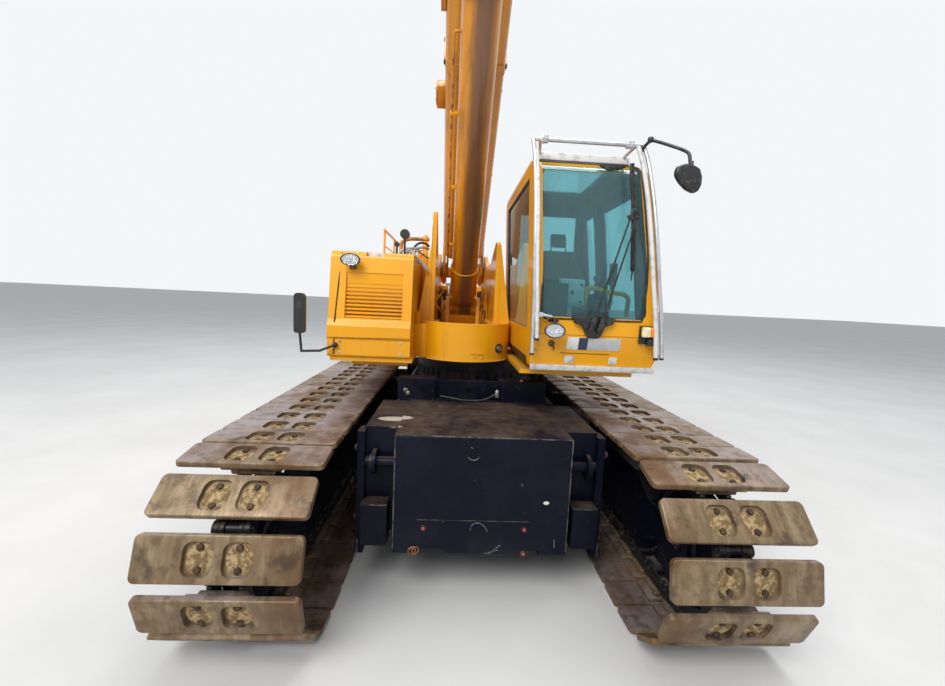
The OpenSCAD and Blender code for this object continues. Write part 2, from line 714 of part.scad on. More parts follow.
// Side view [y, z, radius] of the cab
cab_side = [
  [-cab_front_y, cab_z, 60], [cab_back, cab_z, 40], [cab_back, cab_top - 40, 80],
  [-cab_front_y + 330, cab_top, 120], [-cab_front_y - 10, cab_top - 130, 130],
  [-cab_front_y - 110, cab_z + 900, 400], [-cab_front_y - 90, cab_z + 300, 100]
];
// The cab's outline, solid, moved inwards by d
module cab_solid(d) {
  intersection() {
    along(-cab_front_y - 400, cab_back + 200) polygon(rounded(inset(cab_face, d)));
    across(cab_left - 200, cab_right + 200) polygon(rounded(inset(cab_side, d)));
  }
}
// The lower part of the cab's front at height z
function face_y(z) = -cab_front_y - 90*(z - cab_z)/300;
// The cab's front over its fold at height z
function panel_y(z) = -cab_front_y - 90 - 20*(z - cab_z - 300)/600;
module cab_layer(d0, d1) {
  difference() {
    cab_solid(d0);
    cab_solid(d1);
  }
}
tilt_x = [cab_left + 150, cab_right - 330];
tilt_w = 50;
tilt_y = cab_back + 48;
tilt_z = cab_z + 22;
tilt_r = 18;
floor_top = cab_z + 90;
roof_low = cab_top - 120;
front_cut = -cab_front_y + 130;
rear_cut = cab_back - cab_wall;
side_split = (cab_left + cab_right)/2;
// Regions [low corner, high corner] of the windows
// Front view of the windscreen's hole
screen_face = [
  [cab_left + 60, cab_z + 442, 30], [cab_right - 136, cab_z + 442, 50], [cab_right - 180, cab_z + 905, 400],
  [cab_right - 262, cab_top - 40, 50], [cab_left + 5, cab_top - 40, 30]
];
left_pane = [[cab_left - 100, front_cut + 60, cab_z + 330], [cab_left + 90, rear_cut - 120, cab_top - 190]];
rear_pane = [[cab_left + 120, rear_cut - 60, cab_z + 560], [cab_right - 260, cab_back + 60, cab_top - 200]];
roof_pane = [[cab_left + 120, -cab_front_y + 420, cab_top - 200], [cab_right - 360, -420, cab_top + 60]];
door_hole = [[cab_right - 320, front_cut + 90, cab_z + 110], [cab_right + 60, -520, cab_top - 190]];
right_pane = [[cab_right - 320, -440, cab_z + 560], [cab_right + 60, rear_cut - 110, cab_top - 260]];

module cab_floor() {
  color(black) intersection() {
    cab_solid(0);
    box([cab_left - 200, front_cut, cab_z - 10], [cab_right + 200, cab_back + 200, floor_top]);
  }
  // Arms behind the cab that turn on its tilt pin
  color(black) for (x = tilt_x) difference() {
    union() {
      box([x, cab_back - 10, cab_z + 4], [x + tilt_w, cab_back + 45, cab_z + 50]);
      bar(x, x + tilt_w, tilt_y, tilt_z, 34);
    }
    bar(x - 1, x + tilt_w + 1, tilt_y, tilt_z, tilt_r + pin_gap);
  }
}
module cab_front() {
  color(yellow) difference() {
    intersection() {
      cab_layer(0, cab_wall);
      box([cab_left - 200, -cab_front_y - 400, cab_z - 10],
          [cab_right + 200, front_cut - seat_gap, cab_top + 10]);
    }
    along(-cab_front_y - 300, front_cut - 30) polygon(rounded(screen_face));
  }
}
module cab_wall_zone(x0, x1) {
  intersection() {
    cab_layer(0, cab_wall);
    box([x0, front_cut, floor_top + seat_gap], [x1, rear_cut - seat_gap, roof_low - seat_gap]);
  }
}
module cab_left_wall() {
  color(yellow) difference() {
    cab_wall_zone(cab_left - 200, side_split);
    box(left_pane[0], left_pane[1]);
  }
}
module cab_right_wall() {
  color(yellow) {
    difference() {
      cab_wall_zone(side_split, cab_right + 200);
      box(door_hole[0], door_hole[1]);
      box(right_pane[0], right_pane[1]);
    }
    // Rails that the door slides along, over and under its hole
    for (z = [[floor_top + 2, door_hole[0][2] - 2], [door_hole[1][2] + 5, door_hole[1][2] + 40]])
      door_skin(seat_gap - door_near, 10, door_y0, rear_cut - seat_gap, z[0], z[1]);
  }
}
module cab_rear_wall() {
  color(yellow) difference() {
    intersection() {
      cab_solid(0);
      box([cab_left - 200, rear_cut, floor_top + seat_gap],
          [cab_right + 200, cab_back + 200, roof_low - seat_gap]);
    }
    box(rear_pane[0], rear_pane[1]);
  }
}
module cab_roof() {
  color(yellow) difference() {
    intersection() {
      cab_layer(0, cab_wall);
      box([cab_left - 200, front_cut, roof_low], [cab_right + 200, cab_back + 200, cab_top + 10]);
    }
    box(roof_pane[0], roof_pane[1]);
  }
}
module cab_glass() {
  deep = 16;
  color([0.3, 0.45, 0.45]) {
    for (w = [left_pane, rear_pane, roof_pane, right_pane]) intersection() {
      cab_layer(deep, deep + glass_t);
      box(w[0] + seat_gap*[1, 1, 1], w[1] - seat_gap*[1, 1, 1]);
    }
    intersection() {
      cab_layer(deep, deep + glass_t);
      along(-cab_front_y - 300, front_cut - 30 - seat_gap) polygon(rounded(inset(screen_face, seat_gap)));
    }
  }
}
door_out = 38;
door_near = 8;
module door_skin(d0, d1, y0, y1, z0, z1) {
  intersection() {
    difference() {
      along(y0, y1) polygon(rounded(inset(cab_face, d0)));
      along(y0 - 1, y1 + 1) polygon(rounded(inset(cab_face, d1)));
    }
    box([side_split, y0, z0], [cab_right + 100, y1, z1]);
  }
}
door_y0 = door_hole[0][1] - 50;
door_y1 = door_hole[1][1] + 50;
door_pane = [[cab_right - 320, door_y0 + 90, cab_z + 420], [cab_right + 100, door_y1 - 90, cab_top - 260]];
module cab_door() {
  color(yellow) {
    difference() {
      door_skin(-door_out, -door_near, door_y0, door_y1, cab_z + 60, cab_top - 140);
      box(door_pane[0], door_pane[1]);
    }
    // Grip
    for (g = [[-34, 560], [-62, 800]])
      bar(cab_right + g[0], cab_right + 34, door_y1 - 60, cab_z + g[1], 9);
    translate([cab_right + 30, door_y1 - 60, cab_z + 545]) cylinder(h = 270, r = 10);
  }
}
module door_glass() {
  color([0.3, 0.45, 0.45]) intersection() {
    door_skin(-door_near - 16, -door_near - 10, door_y0, door_y1, cab_z + 60, cab_top - 140);
    box(door_pane[0] + seat_gap*[1, 1, 1], door_pane[1] - seat_gap*[1, 1, 1]);
  }
}
guard_r = 16;
module cab_guard() {
  r = guard_r;
  y = -cab_front_y - 130;
  color(silver) {
    // Roof bar and curved rails beside the windscreen
    tube([
      [cab_left - 5, y, cab_z + 150], [cab_left - 30, y - 20, cab_z + 900],
      [cab_left - 75, y + 110, cab_top + 40], [cab_right - 245, y + 110, cab_top + 40],
      [cab_right - 112, y - 20, cab_z + 1060], [cab_right - 2, y, cab_z + 150]
    ], r);
    // Ties from the rails' feet to the cab: [rail's x, x over the front]
    for (t = [[cab_left - 6, cab_left + 60], [cab_right - 8, cab_right - 95]]) {
      bar(min(t), max(t), y, cab_z + 230, r*0.7);
      translate([t[1], face_y(cab_z + 230 + r*0.8) - seat_gap, cab_z + 230]) rotate([90, 0, 0])
        cylinder(h = face_y(cab_z + 230 + r*0.8) - seat_gap - y, r = r*0.8);
    }
    for (x = [cab_left + 90, cab_right - 330])
      rod([x, y + 110, cab_top + 40], [x, y + 500, cab_top + r*0.8 + seat_gap], r*0.8);
  }
}
module seat() {
  x = cab_left + 320;
  color(black) {
    box([x, -900, floor_top + seat_gap], [x + 320, -520, floor_top + 300]);
    translate([x - 70, -1010, floor_top + 300]) along(0, 520) polygon(rounded([
      [0, 0, 30], [460, 0, 30], [460, 130, 50], [0, 130, 50]
    ]));
    across(x - 40, x + 360) polygon(rounded([
      [-620, floor_top + 380, 30], [-500, floor_top + 380, 40],
      [-330, floor_top + 1040, 50], [-430, floor_top + 1060, 40]
    ]));
    across(x + 60, x + 260) polygon(rounded([
      [-420, floor_top + 1040, 20], [-330, floor_top + 1020, 30],
      [-290, floor_top + 1200, 40], [-380, floor_top + 1220, 40]
    ]));
  }
}
module console() {
  x = cab_left + 320;
  color(black) {
    for (dx = [-150, 395]) {
      box([x + dx, -960, floor_top + seat_gap], [x + dx + 75, -560, floor_top + 560]);
      translate([x + dx + 38, -900, floor_top + 550]) cylinder(h = 150, r = 14);
      translate([x + dx + 38, -900, floor_top + 710]) sphere(r = 32, $fn = 24);
    }
    // Dashboard box behind the windscreen
    box([cab_left + 60, -cab_front_y + 60, floor_top + seat_gap],
        [cab_left + 200, -cab_front_y + 150, floor_top + 360]);
    box([cab_left + 60, -cab_front_y + 60, floor_top + 340],
        [cab_left + 300, -cab_front_y + 180, floor_top + 620]);
  }
}
// A straight bar of width w between two points of a front view
module strip(p, q, w) {
  n = normal(p, q)*w/2;
  polygon([p - n, p + n, q + n, q - n]);
}
module cab_mirror() {
  y = -cab_front_y - 110;
  x = cab_right - 245;
  color(black) {
    tube([
      [x, y + 90, cab_top + 40 + (guard_r + 12)*knuckle + seat_gap], [x + 45, y - 60, cab_top + 85],
      [x + 315, y - 200, cab_top + 45], [x + 345, y - 220, cab_top - 45]
    ], 12);
    translate([x + 345, y - 220, cab_top - 45]) along(-30, 30) polygon(rounded([
      [-75, -190, 60], [80, -190, 60], [80, 0, 60], [-75, 0, 60]
    ]));
  }
}
module wipers() {
  y = -cab_front_y - 122;
  color(black) {
    // Housing of the wiper's motor in the lower panel
    along(y - 20, panel_y(cab_z + 432) - seat_gap) polygon(rounded([
      [side_split - 45, cab_z + 315, 20], [side_split + 45, cab_z + 315, 20],
      [side_split + 150, cab_z + 432, 10],
      [side_split - 150, cab_z + 432, 10]
    ]));
    // Two parallel arms and the blade, as flat bars [x, z] to [x, z]
    for (a = [-20, 30])
      along(y - 12, y) strip([side_split + a, cab_z + 360], [side_split + 215 + a, cab_z + 1180], 14);
    along(y - 4, y + 6) strip([side_split + 185, cab_z + 690], [side_split + 275, cab_z + 1290], 22);
  }
}

// Places its children along the boom: -Y is towards the head, Z is square to it, 0 is the pivot
module on_boom(angle = boom_angle) {
  translate([boom_x, pivot_y, pivot_z]) rotate([-angle, 0, 0]) children();
}
// Cross-section [x, z, radius] of the base section, with a folded underside
boom_section = [
  [-boom_w*0.32, -boom_low, 40], [boom_w*0.32, -boom_low, 40], [boom_w*0.46, -boom_low + 80, 60],
  [boom_w/2, -boom_low + 250, 60], [boom_w/2, boom_high, 60], [-boom_w/2, boom_high, 60],
  [-boom_w/2, -boom_low + 250, 60], [-boom_w*0.46, -boom_low + 80, 60]
];
module boom_tube(d, wall, s0, s1) {
  along(-s1, -s0) difference() {
    polygon(rounded(inset(boom_section, d), 3));
    polygon(rounded(inset(boom_section, d + wall), 3));
  }
}
tube_start = 420;
lug_in = eye_w/2 + run_gap;
bracket_s = 3450;
module boom_base() {
  color(yellow) on_boom() {
    boom_tube(0, boom_wall, tube_start, base_len);
    boom_tube(-25, 25 + boom_wall, base_len - 260, base_len);
    boom_tube(-14, 14 + boom_wall, 2900, 3000);
    // Bracket on the left side
    across(-boom_w/2 - 40, -boom_w/2 + 4) polygon(rounded([
      [-bracket_s - 110, 60, 30], [-bracket_s + 110, 60, 30], [-bracket_s + 110, 250, 30],
      [-bracket_s - 110, 250, 30]
    ]));
    // Foot plates that turn on the pivot pin
    for (s = [-1, 1]) difference() {
      union() {
        across(s > 0 ? boom_w/2 - 40 : -boom_w/2, s > 0 ? boom_w/2 : -boom_w/2 + 40)
          polygon(rounded([
            [-tube_start - 120, -boom_low + 250, 0], [-tube_start - 120, boom_high - 60, 0],
            [-260, boom_high - 60, 80], [170, 160, 120], [170, -150, 120], [-160, -170, 100]
          ]));
        bar(s > 0 ? boom_w/2 - 60 : -boom_w/2 - 18, s > 0 ? boom_w/2 + 18 : -boom_w/2 + 60,
            0, 0, pivot_r + 75);
      }
      bar(-boom_w, boom_w, 0, 0, pivot_r + pin_gap);
    }
    // Lugs of the luffing cylinder under the boom
    for (s = [-1, 1]) {
      across(s > 0 ? lug_in : -lug_in - lug_t, s > 0 ? lug_in + lug_t : -lug_in) polygon(rounded([
        [-lug_s - 420, -boom_low + 10, 0], [-lug_s - 120, -lug_e - 60, 80],
        [-lug_s + 60, -lug_e - 130, 110],
        [-lug_s + 150, -lug_e, 100], [-lug_s + 560, -boom_low + 10, 0]
      ]));
      bar(s > 0 ? lug_in + lug_t - 1 : -lug_in - lug_t - 22,
          s > 0 ? lug_in + lug_t + 22 : -lug_in - lug_t + 1, -lug_s, -lug_e, eye_pin_r + 20);
    }
  }
}
module tele(n) {
  d = n*tele_step;
  s0 = tube_start + 150 + n*70;
  s1 = base_len + n*tele_out;
  collar = tele_out - 15;
  pad = tele_step - (n == 1 ? boom_wall : tele_wall) - seat_gap;
  color(yellow) on_boom() {
    boom_tube(d, tele_wall, s0, s1);
    // Wear pads on which the section slides in the one around it
    boom_tube(d - pad, tele_wall + pad, s0, s0 + 100);
    boom_tube(d - 12, tele_wall + 12, s1 - collar, s1);
  }
}
module tele_1() { tele(1); }
module tele_2() { tele(2); }
module tele_3() { tele(3); }
module tele_4() { tele(4); }
head_s = base_len + 5*tele_out + 480;
head_z = -330;
sheave_t = 52;
groove_r = sheave_r - 25; // floor of a sheave's groove
sheaves = 4;
head_half = sheaves*sheave_t/2 + run_gap;
module tele_5() {
  tele(5);
  color(yellow) on_boom() {
    s1 = base_len + 5*tele_out;
    low = -boom_low + 5*tele_step;
    difference() {
      for (s = [-1, 1]) across(s > 0 ? head_half : -head_half - 30, s > 0 ? head_half + 30 : -head_half)
        polygon(rounded([
          [-head_s - 120, head_z - 100, 90], [-head_s + 130, head_z - 110, 90], [-s1 - 40, low - 60, 90],
          [-s1 + tele_out - 40, low + 4, 0], [-s1 + tele_out - 40, boom_high - 5*tele_step - 4, 0],
          [-s1 - 60, boom_high - 110, 60],
          [-head_s - 150, head_z + 260, 140]
        ]));
      // Bores for a jib's pins
      bar(-head_half - 50, head_half + 50, -s1 - 130, boom_high - 230, 30);
    }
    bar(-head_half - 55, head_half + 55, -head_s, head_z, 45);
    box([-head_half - 1, -s1 - 20, low + 30], [head_half + 1, -s1 + 10, boom_high - 150]);
  }
}
module head_sheaves() {
  color(silver) on_boom() translate([0, -head_s, head_z]) rotate([0, 90, 0]) rotate_extrude($fn = 64)
    polygon([
      [45 + pin_gap, -sheaves*sheave_t/2], [sheave_r, -sheaves*sheave_t/2],
      for (i = [0:sheaves - 1]) each [
        [sheave_r, (i - sheaves/2)*sheave_t + 6], [groove_r, (i - sheaves/2 + 0.5)*sheave_t - 0.8*rope_r],
        [groove_r, (i - sheaves/2 + 0.5)*sheave_t + 0.8*rope_r],
        [sheave_r, (i - sheaves/2 + 1)*sheave_t - 6]
      ],
      [sheave_r, sheaves*sheave_t/2], [45 + pin_gap, sheaves*sheave_t/2]
    ]);
}

// Places its children at the head's axle, upright
module at_head() {
  y = pivot_y - head_s*cos(boom_angle) + head_z*sin(boom_angle);
  z = pivot_z + head_s*sin(boom_angle) + head_z*cos(boom_angle);
  translate([boom_x, y, z]) children();
}
fall_y = groove_r + rope_r + seat_gap;
module hoist_falls() {
  color(silver) at_head() for (i = [0:sheaves - 1], s = [-1, 1])
    translate([(i - sheaves/2 + 0.5)*sheave_t, s*fall_y, -fall_l])
      cylinder(h = fall_l, r = rope_r, $fn = 16);
}
module hook_block() {
  half = sheaves*sheave_t/2 + 4;
  color(yellow) at_head() translate([0, 0, -fall_l]) {
    for (i = [-1, 1]) across(i > 0 ? half : -half - 40, i > 0 ? half + 40 : -half) polygon(rounded([
      [-150, -330, 60], [150, -330, 60], [270, -60, 90], [230, 170, 80], [-230, 170, 80], [-270, -60, 90]
    ]));
    bar(-half - 1, half + 1, 0, 0, groove_r - rope_r);
    bar(-half - 62, half + 62, 0, 0, 45);
    box([-half - 1, -fall_y - rope_r, -20], [half + 1, fall_y + rope_r, -seat_gap]);
    box([-half - 1, -110, -320], [half + 1, 110, -200]);
  }
}
module hook() {
  color(black) at_head() translate([0, 0, -fall_l - 320 - seat_gap]) {
    translate([0, 0, -130]) cylinder(h = 130, r = 45);
    translate([0, 0, -130]) cylinder(h = 50, r = 75);
    // Single hook: a part of a ring with a shank
    translate([0, 0, -290]) rotate([0, 90, 0]) rotate([0, 0, -60]) rotate_extrude(angle = 250)
      translate([105, 0]) circle(r = 42);
    translate([0, 0, -210]) cylinder(h = 100, r = 42);
  }
}

// Angle and length of the luffing cylinder at rest
lug_y = pivot_y - lug_s*cos(boom_angle) - lug_e*sin(boom_angle);
lug_z = pivot_z + lug_s*sin(boom_angle) - lug_e*cos(boom_angle);
luff_l = norm([lug_y - foot_y, lug_z - foot_z]);
luff_angle = atan2(lug_z - foot_z, foot_y - lug_y);
barrel_l = 3300;
module on_cylinder() {
  translate([boom_x, foot_y, foot_z]) rotate([-luff_angle, 0, 0]) children();
}
module luff_barrel() {
  color(yellow) on_cylinder() difference() {
    union() {
      bar(-eye_w/2, eye_w/2, 0, 0, 125);
      box([-eye_w/2, -230, -100], [eye_w/2, -60, 100]);
      translate([0, -180, 0]) rotate([90, 0, 0]) cylinder(h = barrel_l - 180, r = barrel_r);
      // Thick foot and end collar
      for (c = [[180, 640], [barrel_l - 110, barrel_l]])
        translate([0, -c[0], 0]) rotate([90, 0, 0]) cylinder(h = c[1] - c[0], r = barrel_r + collar_h);
    }
    bar(-eye_w, eye_w, 0, 0, eye_pin_r + pin_gap);
    // Bore
    translate([0, -400, 0]) rotate([90, 0, 0]) cylinder(h = barrel_l, r = rod_r + pin_gap);
  }
}
module luff_rod() {
  color(silver) on_cylinder() {
    translate([0, -barrel_l + 1500, 0]) rotate([90, 0, 0])
      cylinder(h = luff_l - barrel_l + 1500 - 90, r = rod_r);
    bar(-eye_w/2, eye_w/2, -luff_l, 0, 120);
  }
}

carbody();
slew_ring();
track_frame_left();
track_frame_right();
track_left();
track_right();
sprockets();
idlers();
front_ballast();
rear_ballast();
turntable();
side_housing();
housing_grille();
engine_hood();
engine_block();
tank_hood();
counterweight();
winch_frame();
hoist_drum();
handrails();
deck_mirror();
deck_lamps();
cab_floor();
cab_front();
cab_left_wall();
cab_right_wall();
cab_rear_wall();
cab_roof();
cab_glass();
cab_guard();
seat();
console();
cab_mirror();
wipers();
cab_door();
door_glass();
luff_barrel();
luff_rod();
boom_base();
tele_1();
tele_2();
tele_3();
tele_4();
tele_5();
head_sheaves();
hoist_falls();
hook_block();
hook();
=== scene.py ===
"""Looks of a telescopic crawler crane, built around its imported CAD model.

The frame is in metres: +X to the cab's side, -Y to the front, +Z up, with the origin on the
ground under the slewing axis.
"""

import math
import random

import bmesh
import bpy
from mathutils import Matrix, Vector


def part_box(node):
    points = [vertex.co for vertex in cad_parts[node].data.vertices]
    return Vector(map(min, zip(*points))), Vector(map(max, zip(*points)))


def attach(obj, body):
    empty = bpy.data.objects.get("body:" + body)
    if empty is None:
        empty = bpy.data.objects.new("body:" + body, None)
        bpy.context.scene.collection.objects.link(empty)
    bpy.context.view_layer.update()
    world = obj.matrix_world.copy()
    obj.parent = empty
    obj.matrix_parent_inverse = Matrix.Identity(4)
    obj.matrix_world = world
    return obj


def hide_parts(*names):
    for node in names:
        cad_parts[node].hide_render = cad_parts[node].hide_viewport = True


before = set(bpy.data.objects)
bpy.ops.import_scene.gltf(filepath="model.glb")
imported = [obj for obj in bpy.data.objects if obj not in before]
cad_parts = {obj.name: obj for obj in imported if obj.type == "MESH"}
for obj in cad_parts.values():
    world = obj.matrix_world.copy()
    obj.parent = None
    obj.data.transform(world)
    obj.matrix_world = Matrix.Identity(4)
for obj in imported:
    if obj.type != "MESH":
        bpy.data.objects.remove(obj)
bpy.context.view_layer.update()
random.seed(7)

# Camera: it stands 2.25 m above the ground in front of the tracks and has a wide lens. Its axes
# and place come from the seams of the track shoes, measured in the photograph.
CAMERA_AT = (-0.272, -5.035, 2.252)
CAMERA_YAW, CAMERA_PITCH, CAMERA_ROLL = -0.05, 0.106, 0.047
FOCAL_PX, FRAME_PX = 424.0, 945.0


def camera_axes(yaw, pitch, roll):
    """Right, down and forward of the camera as rows."""
    turn = Matrix(
        ((math.cos(yaw), math.sin(yaw), 0), (-math.sin(yaw), math.cos(yaw), 0), (0, 0, 1))
    )
    tip = Matrix(
        ((1, 0, 0), (0, math.cos(pitch), -math.sin(pitch)), (0, math.sin(pitch), math.cos(pitch)))
    )
    to_lens = Matrix(((1, 0, 0), (0, 0, -1), (0, 1, 0)))
    lean = Matrix(
        ((math.cos(roll), -math.sin(roll), 0), (math.sin(roll), math.cos(roll), 0), (0, 0, 1))
    )
    return lean @ to_lens @ tip @ turn


right, down, forward = camera_axes(CAMERA_YAW, CAMERA_PITCH, CAMERA_ROLL)
camera = bpy.data.objects.new("camera", bpy.data.cameras.new("camera"))
camera.data.sensor_width = 36
camera.data.lens = FOCAL_PX / FRAME_PX * 36
camera.matrix_world = Matrix.Translation(CAMERA_AT) @ Matrix(
    (right, -down, -forward)
).transposed().to_4x4()
bpy.context.scene.collection.objects.link(camera)
bpy.context.scene.camera = camera
bpy.context.scene.view_settings.view_transform = "Standard"

# Studio: a pale floor that runs out of sight, a white surround that lights evenly and a little
# blue, and two large soft boxes in front and above.
world = bpy.data.worlds.new("studio")
bpy.context.scene.world = world
world.use_nodes = True
tree = world.node_tree
tree.nodes.clear()
path = tree.nodes.new("ShaderNodeLightPath")
seen = tree.nodes.new("ShaderNodeMath")
seen.operation = "MAXIMUM"
clear = tree.nodes.new("ShaderNodeMath")
clear.operation = "MAXIMUM"
for source, target in (
    (path.outputs["Is Camera Ray"], seen.inputs[0]),
    (path.outputs["Is Transmission Ray"], seen.inputs[1]),
    (seen.outputs[0], clear.inputs[0]),
    (path.outputs["Is Glossy Ray"], clear.inputs[1]),
):
    tree.links.new(source, target)
lit = tree.nodes.new("ShaderNodeBackground")
lit.inputs["Color"].default_value = (0.86, 0.92, 1.0, 1)
lit.inputs["Strength"].default_value = 0.62
shown = tree.nodes.new("ShaderNodeBackground")
shown.inputs["Color"].default_value = (0.90, 0.92, 0.94, 1)
either = tree.nodes.new("ShaderNodeMixShader")
out = tree.nodes.new("ShaderNodeOutputWorld")
for source, target in (
    (clear.outputs[0], either.inputs["Fac"]),
    (lit.outputs[0], either.inputs[1]),
    (shown.outputs[0], either.inputs[2]),
    (either.outputs[0], out.inputs["Surface"]),
):
    tree.links.new(source, target)

for name, at, aim, size, power in (
    ("softbox_front", (-6, -12, 13), (0, 0, 1.5), 9, 2300),
    ("softbox_top", (3, 3, 19), (0, 0, 1), 12, 2100),
):
    lamp = bpy.data.objects.new(name, bpy.data.lights.new(name, "AREA"))
    lamp.data.size = size
    lamp.data.energy = power
    lamp.location = at
    lamp.rotation_euler = (Vector(aim) - Vector(at)).to_track_quat("-Z", "Y").to_euler()
    bpy.context.scene.collection.objects.link(lamp)


# Shader groups that several finishes share: blotches of dirt, a patchy mask of what faces up that
# gives settled dust and, on the track shoes, a painted sheen, and the grain of a surface. Each puts
# out masks or heights only.
def new_group(name, inputs, outputs):
    group = bpy.data.node_groups.new(name, "ShaderNodeTree")
    for kind, label, value in inputs:
        socket = group.interface.new_socket(name=label, in_out="INPUT", socket_type=kind)
        socket.default_value = value
    for kind, label in outputs:
        group.interface.new_socket(name=label, in_out="OUTPUT", socket_type=kind)
    return group, group.nodes.new("NodeGroupInput"), group.nodes.new("NodeGroupOutput")


FLOAT, VECTOR = "NodeSocketFloat", "NodeSocketVector"

blotches, given, gives = new_group(
    "blotches",
    [
        (FLOAT, "Scale", 3.0), (FLOAT, "Low", 0.45), (FLOAT, "High", 0.62),
        (VECTOR, "Stretch", (1, 1, 1))
    ],
    [(FLOAT, "Mask")],
)
place = blotches.nodes.new("ShaderNodeTexCoord")
stretch = blotches.nodes.new("ShaderNodeMapping")
cloud = blotches.nodes.new("ShaderNodeTexNoise")
cloud.inputs["Detail"].default_value = 7
cloud.inputs["Roughness"].default_value = 0.62
limits = blotches.nodes.new("ShaderNodeMapRange")
limits.interpolation_type = "SMOOTHSTEP"
for source, target in (
    (place.outputs["Object"], stretch.inputs["Vector"]),
    (given.outputs["Stretch"], stretch.inputs["Scale"]),
    (stretch.outputs[0], cloud.inputs["Vector"]),
    (given.outputs["Scale"], cloud.inputs["Scale"]),
    (cloud.outputs[0], limits.inputs["Value"]),
    (given.outputs["Low"], limits.inputs["From Min"]),
    (given.outputs["High"], limits.inputs["From Max"]),
    (limits.outputs[0], gives.inputs["Mask"]),
):
    blotches.links.new(source, target)

# Up-facing mask: settled dust on most finishes, and a painted sheen on the track shoes.
dust_and_sheen, given, gives = new_group(
    "upward_dust_and_painted_sheen", [(FLOAT, "Low", 0.5), (FLOAT, "High", 0.95), (FLOAT, "Scale", 5.0)],
    [(FLOAT, "Mask")]
)
faces = dust_and_sheen.nodes.new("ShaderNodeNewGeometry")
split = dust_and_sheen.nodes.new("ShaderNodeSeparateXYZ")
upward = dust_and_sheen.nodes.new("ShaderNodeMapRange")
upward.interpolation_type = "SMOOTHSTEP"
patchy = dust_and_sheen.nodes.new("ShaderNodeGroup")
patchy.node_tree = blotches
patchy.inputs["Low"].default_value = 0.30
patchy.inputs["High"].default_value = 0.66
both = dust_and_sheen.nodes.new("ShaderNodeMath")
both.operation = "MULTIPLY"
for source, target in (
    (faces.outputs["Normal"], split.inputs[0]),
    (split.outputs["Z"], upward.inputs["Value"]),
    (given.outputs["Low"], upward.inputs["From Min"]),
    (given.outputs["High"], upward.inputs["From Max"]),
    (given.outputs["Scale"], patchy.inputs["Scale"]),
    (upward.outputs[0], both.inputs[0]),
    (patchy.outputs[0], both.inputs[1]),
    (both.outputs[0], gives.inputs["Mask"]),
):
    dust_and_sheen.links.new(source, target)

grain, given, gives = new_group(
    "surface_grain", [(FLOAT, "Scale", 60.0), (FLOAT, "Wave", 1.2)], [(FLOAT, "Height")]
)
place = grain.nodes.new("ShaderNodeTexCoord")
fine = grain.nodes.new("ShaderNodeTexNoise")
fine.inputs["Detail"].default_value = 4
slow = grain.nodes.new("ShaderNodeTexNoise")
slow.inputs["Detail"].default_value = 1
added = grain.nodes.new("ShaderNodeMath")
added.operation = "MULTIPLY_ADD"
added.inputs[1].default_value = 0.25
for source, target in (
    (place.outputs["Object"], fine.inputs["Vector"]),
    (place.outputs["Object"], slow.inputs["Vector"]),
    (given.outputs["Scale"], fine.inputs["Scale"]),
    (given.outputs["Wave"], slow.inputs["Scale"]),
    (fine.outputs[0], added.inputs[0]),
    (slow.outputs[0], added.inputs[2]),
    (added.outputs[0], gives.inputs["Height"]),
):
    grain.links.new(source, target)


def surface(name, colour, rough, metal=0.0, coat=0.0, ior=1.45, specular=0.5, clear=0.0):
    """A new material with one Principled shader, and that shader."""
    made = bpy.data.materials.new(name)
    made.use_nodes = True
    shader = made.node_tree.nodes["Principled BSDF"]
    shader.inputs["Base Color"].default_value = (*colour, 1)
    shader.inputs["Roughness"].default_value = rough
    shader.inputs["Metallic"].default_value = metal
    shader.inputs["Coat Weight"].default_value = coat
    shader.inputs["Coat Roughness"].default_value = 0.08
    shader.inputs["IOR"].default_value = ior
    shader.inputs["Specular IOR Level"].default_value = specular
    shader.inputs["Transmission Weight"].default_value = clear
    return made, shader


def feed(made, group, **values):
    """A group placed in a material with its own values; returns its output."""
    step = made.node_tree.nodes.new("ShaderNodeGroup")
    step.node_tree = group
    for label, value in values.items():
        step.inputs[label].default_value = value
    return step.outputs[0]


def mixed(made, mask, first, second):
    """first where the mask is 0 and second where it is 1; each a colour, a number or an output."""
    numbers = isinstance(second, (int, float))
    step = made.node_tree.nodes.new("ShaderNodeMix")
    step.data_type = "FLOAT" if numbers else "RGBA"
    pick = (2, 3) if numbers else (6, 7)
    made.node_tree.links.new(mask, step.inputs[0])
    for slot, value in zip(pick, (first, second)):
        if isinstance(value, bpy.types.NodeSocket):
            made.node_tree.links.new(value, step.inputs[slot])
        else:
            step.inputs[slot].default_value = value if numbers else (*value, 1)
    return step.outputs[0 if numbers else 2]


def weaker(made, mask, share):
    """A mask times a share."""
    step = made.node_tree.nodes.new("ShaderNodeMath")
    step.operation = "MULTIPLY"
    step.inputs[1].default_value = share
    made.node_tree.links.new(mask, step.inputs[0])
    return step.outputs[0]


def bumped(made, shader, height, distance, strength=1.0):
    """Raises a finish by a height; distance is its depth in metres."""
    step = made.node_tree.nodes.new("ShaderNodeBump")
    step.inputs["Distance"].default_value = distance
    step.inputs["Strength"].default_value = strength
    made.node_tree.links.new(height, step.inputs["Height"])
    made.node_tree.links.new(step.outputs[0], shader.inputs["Normal"])


def steer(made, shader, socket, value):
    """Feeds one socket of a finish's shader."""
    made.node_tree.links.new(value, shader.inputs[socket])


def flecked(name, first, second, scale, low, high, rough, relief=None, **looks):
    """A finish of two colours in blotches; relief is its grain's Scale and Wave, and the depth
    and strength of its bump."""
    made, shader = surface(name, first, rough, **looks)
    fleck = feed(made, blotches, Scale=scale, Low=low, High=high)
    steer(made, shader, "Base Color", mixed(made, fleck, first, second))
    if relief:
        fineness, wave, depth, strength = relief
        bumped(made, shader, feed(made, grain, Scale=fineness, Wave=wave), depth, strength)
    return made


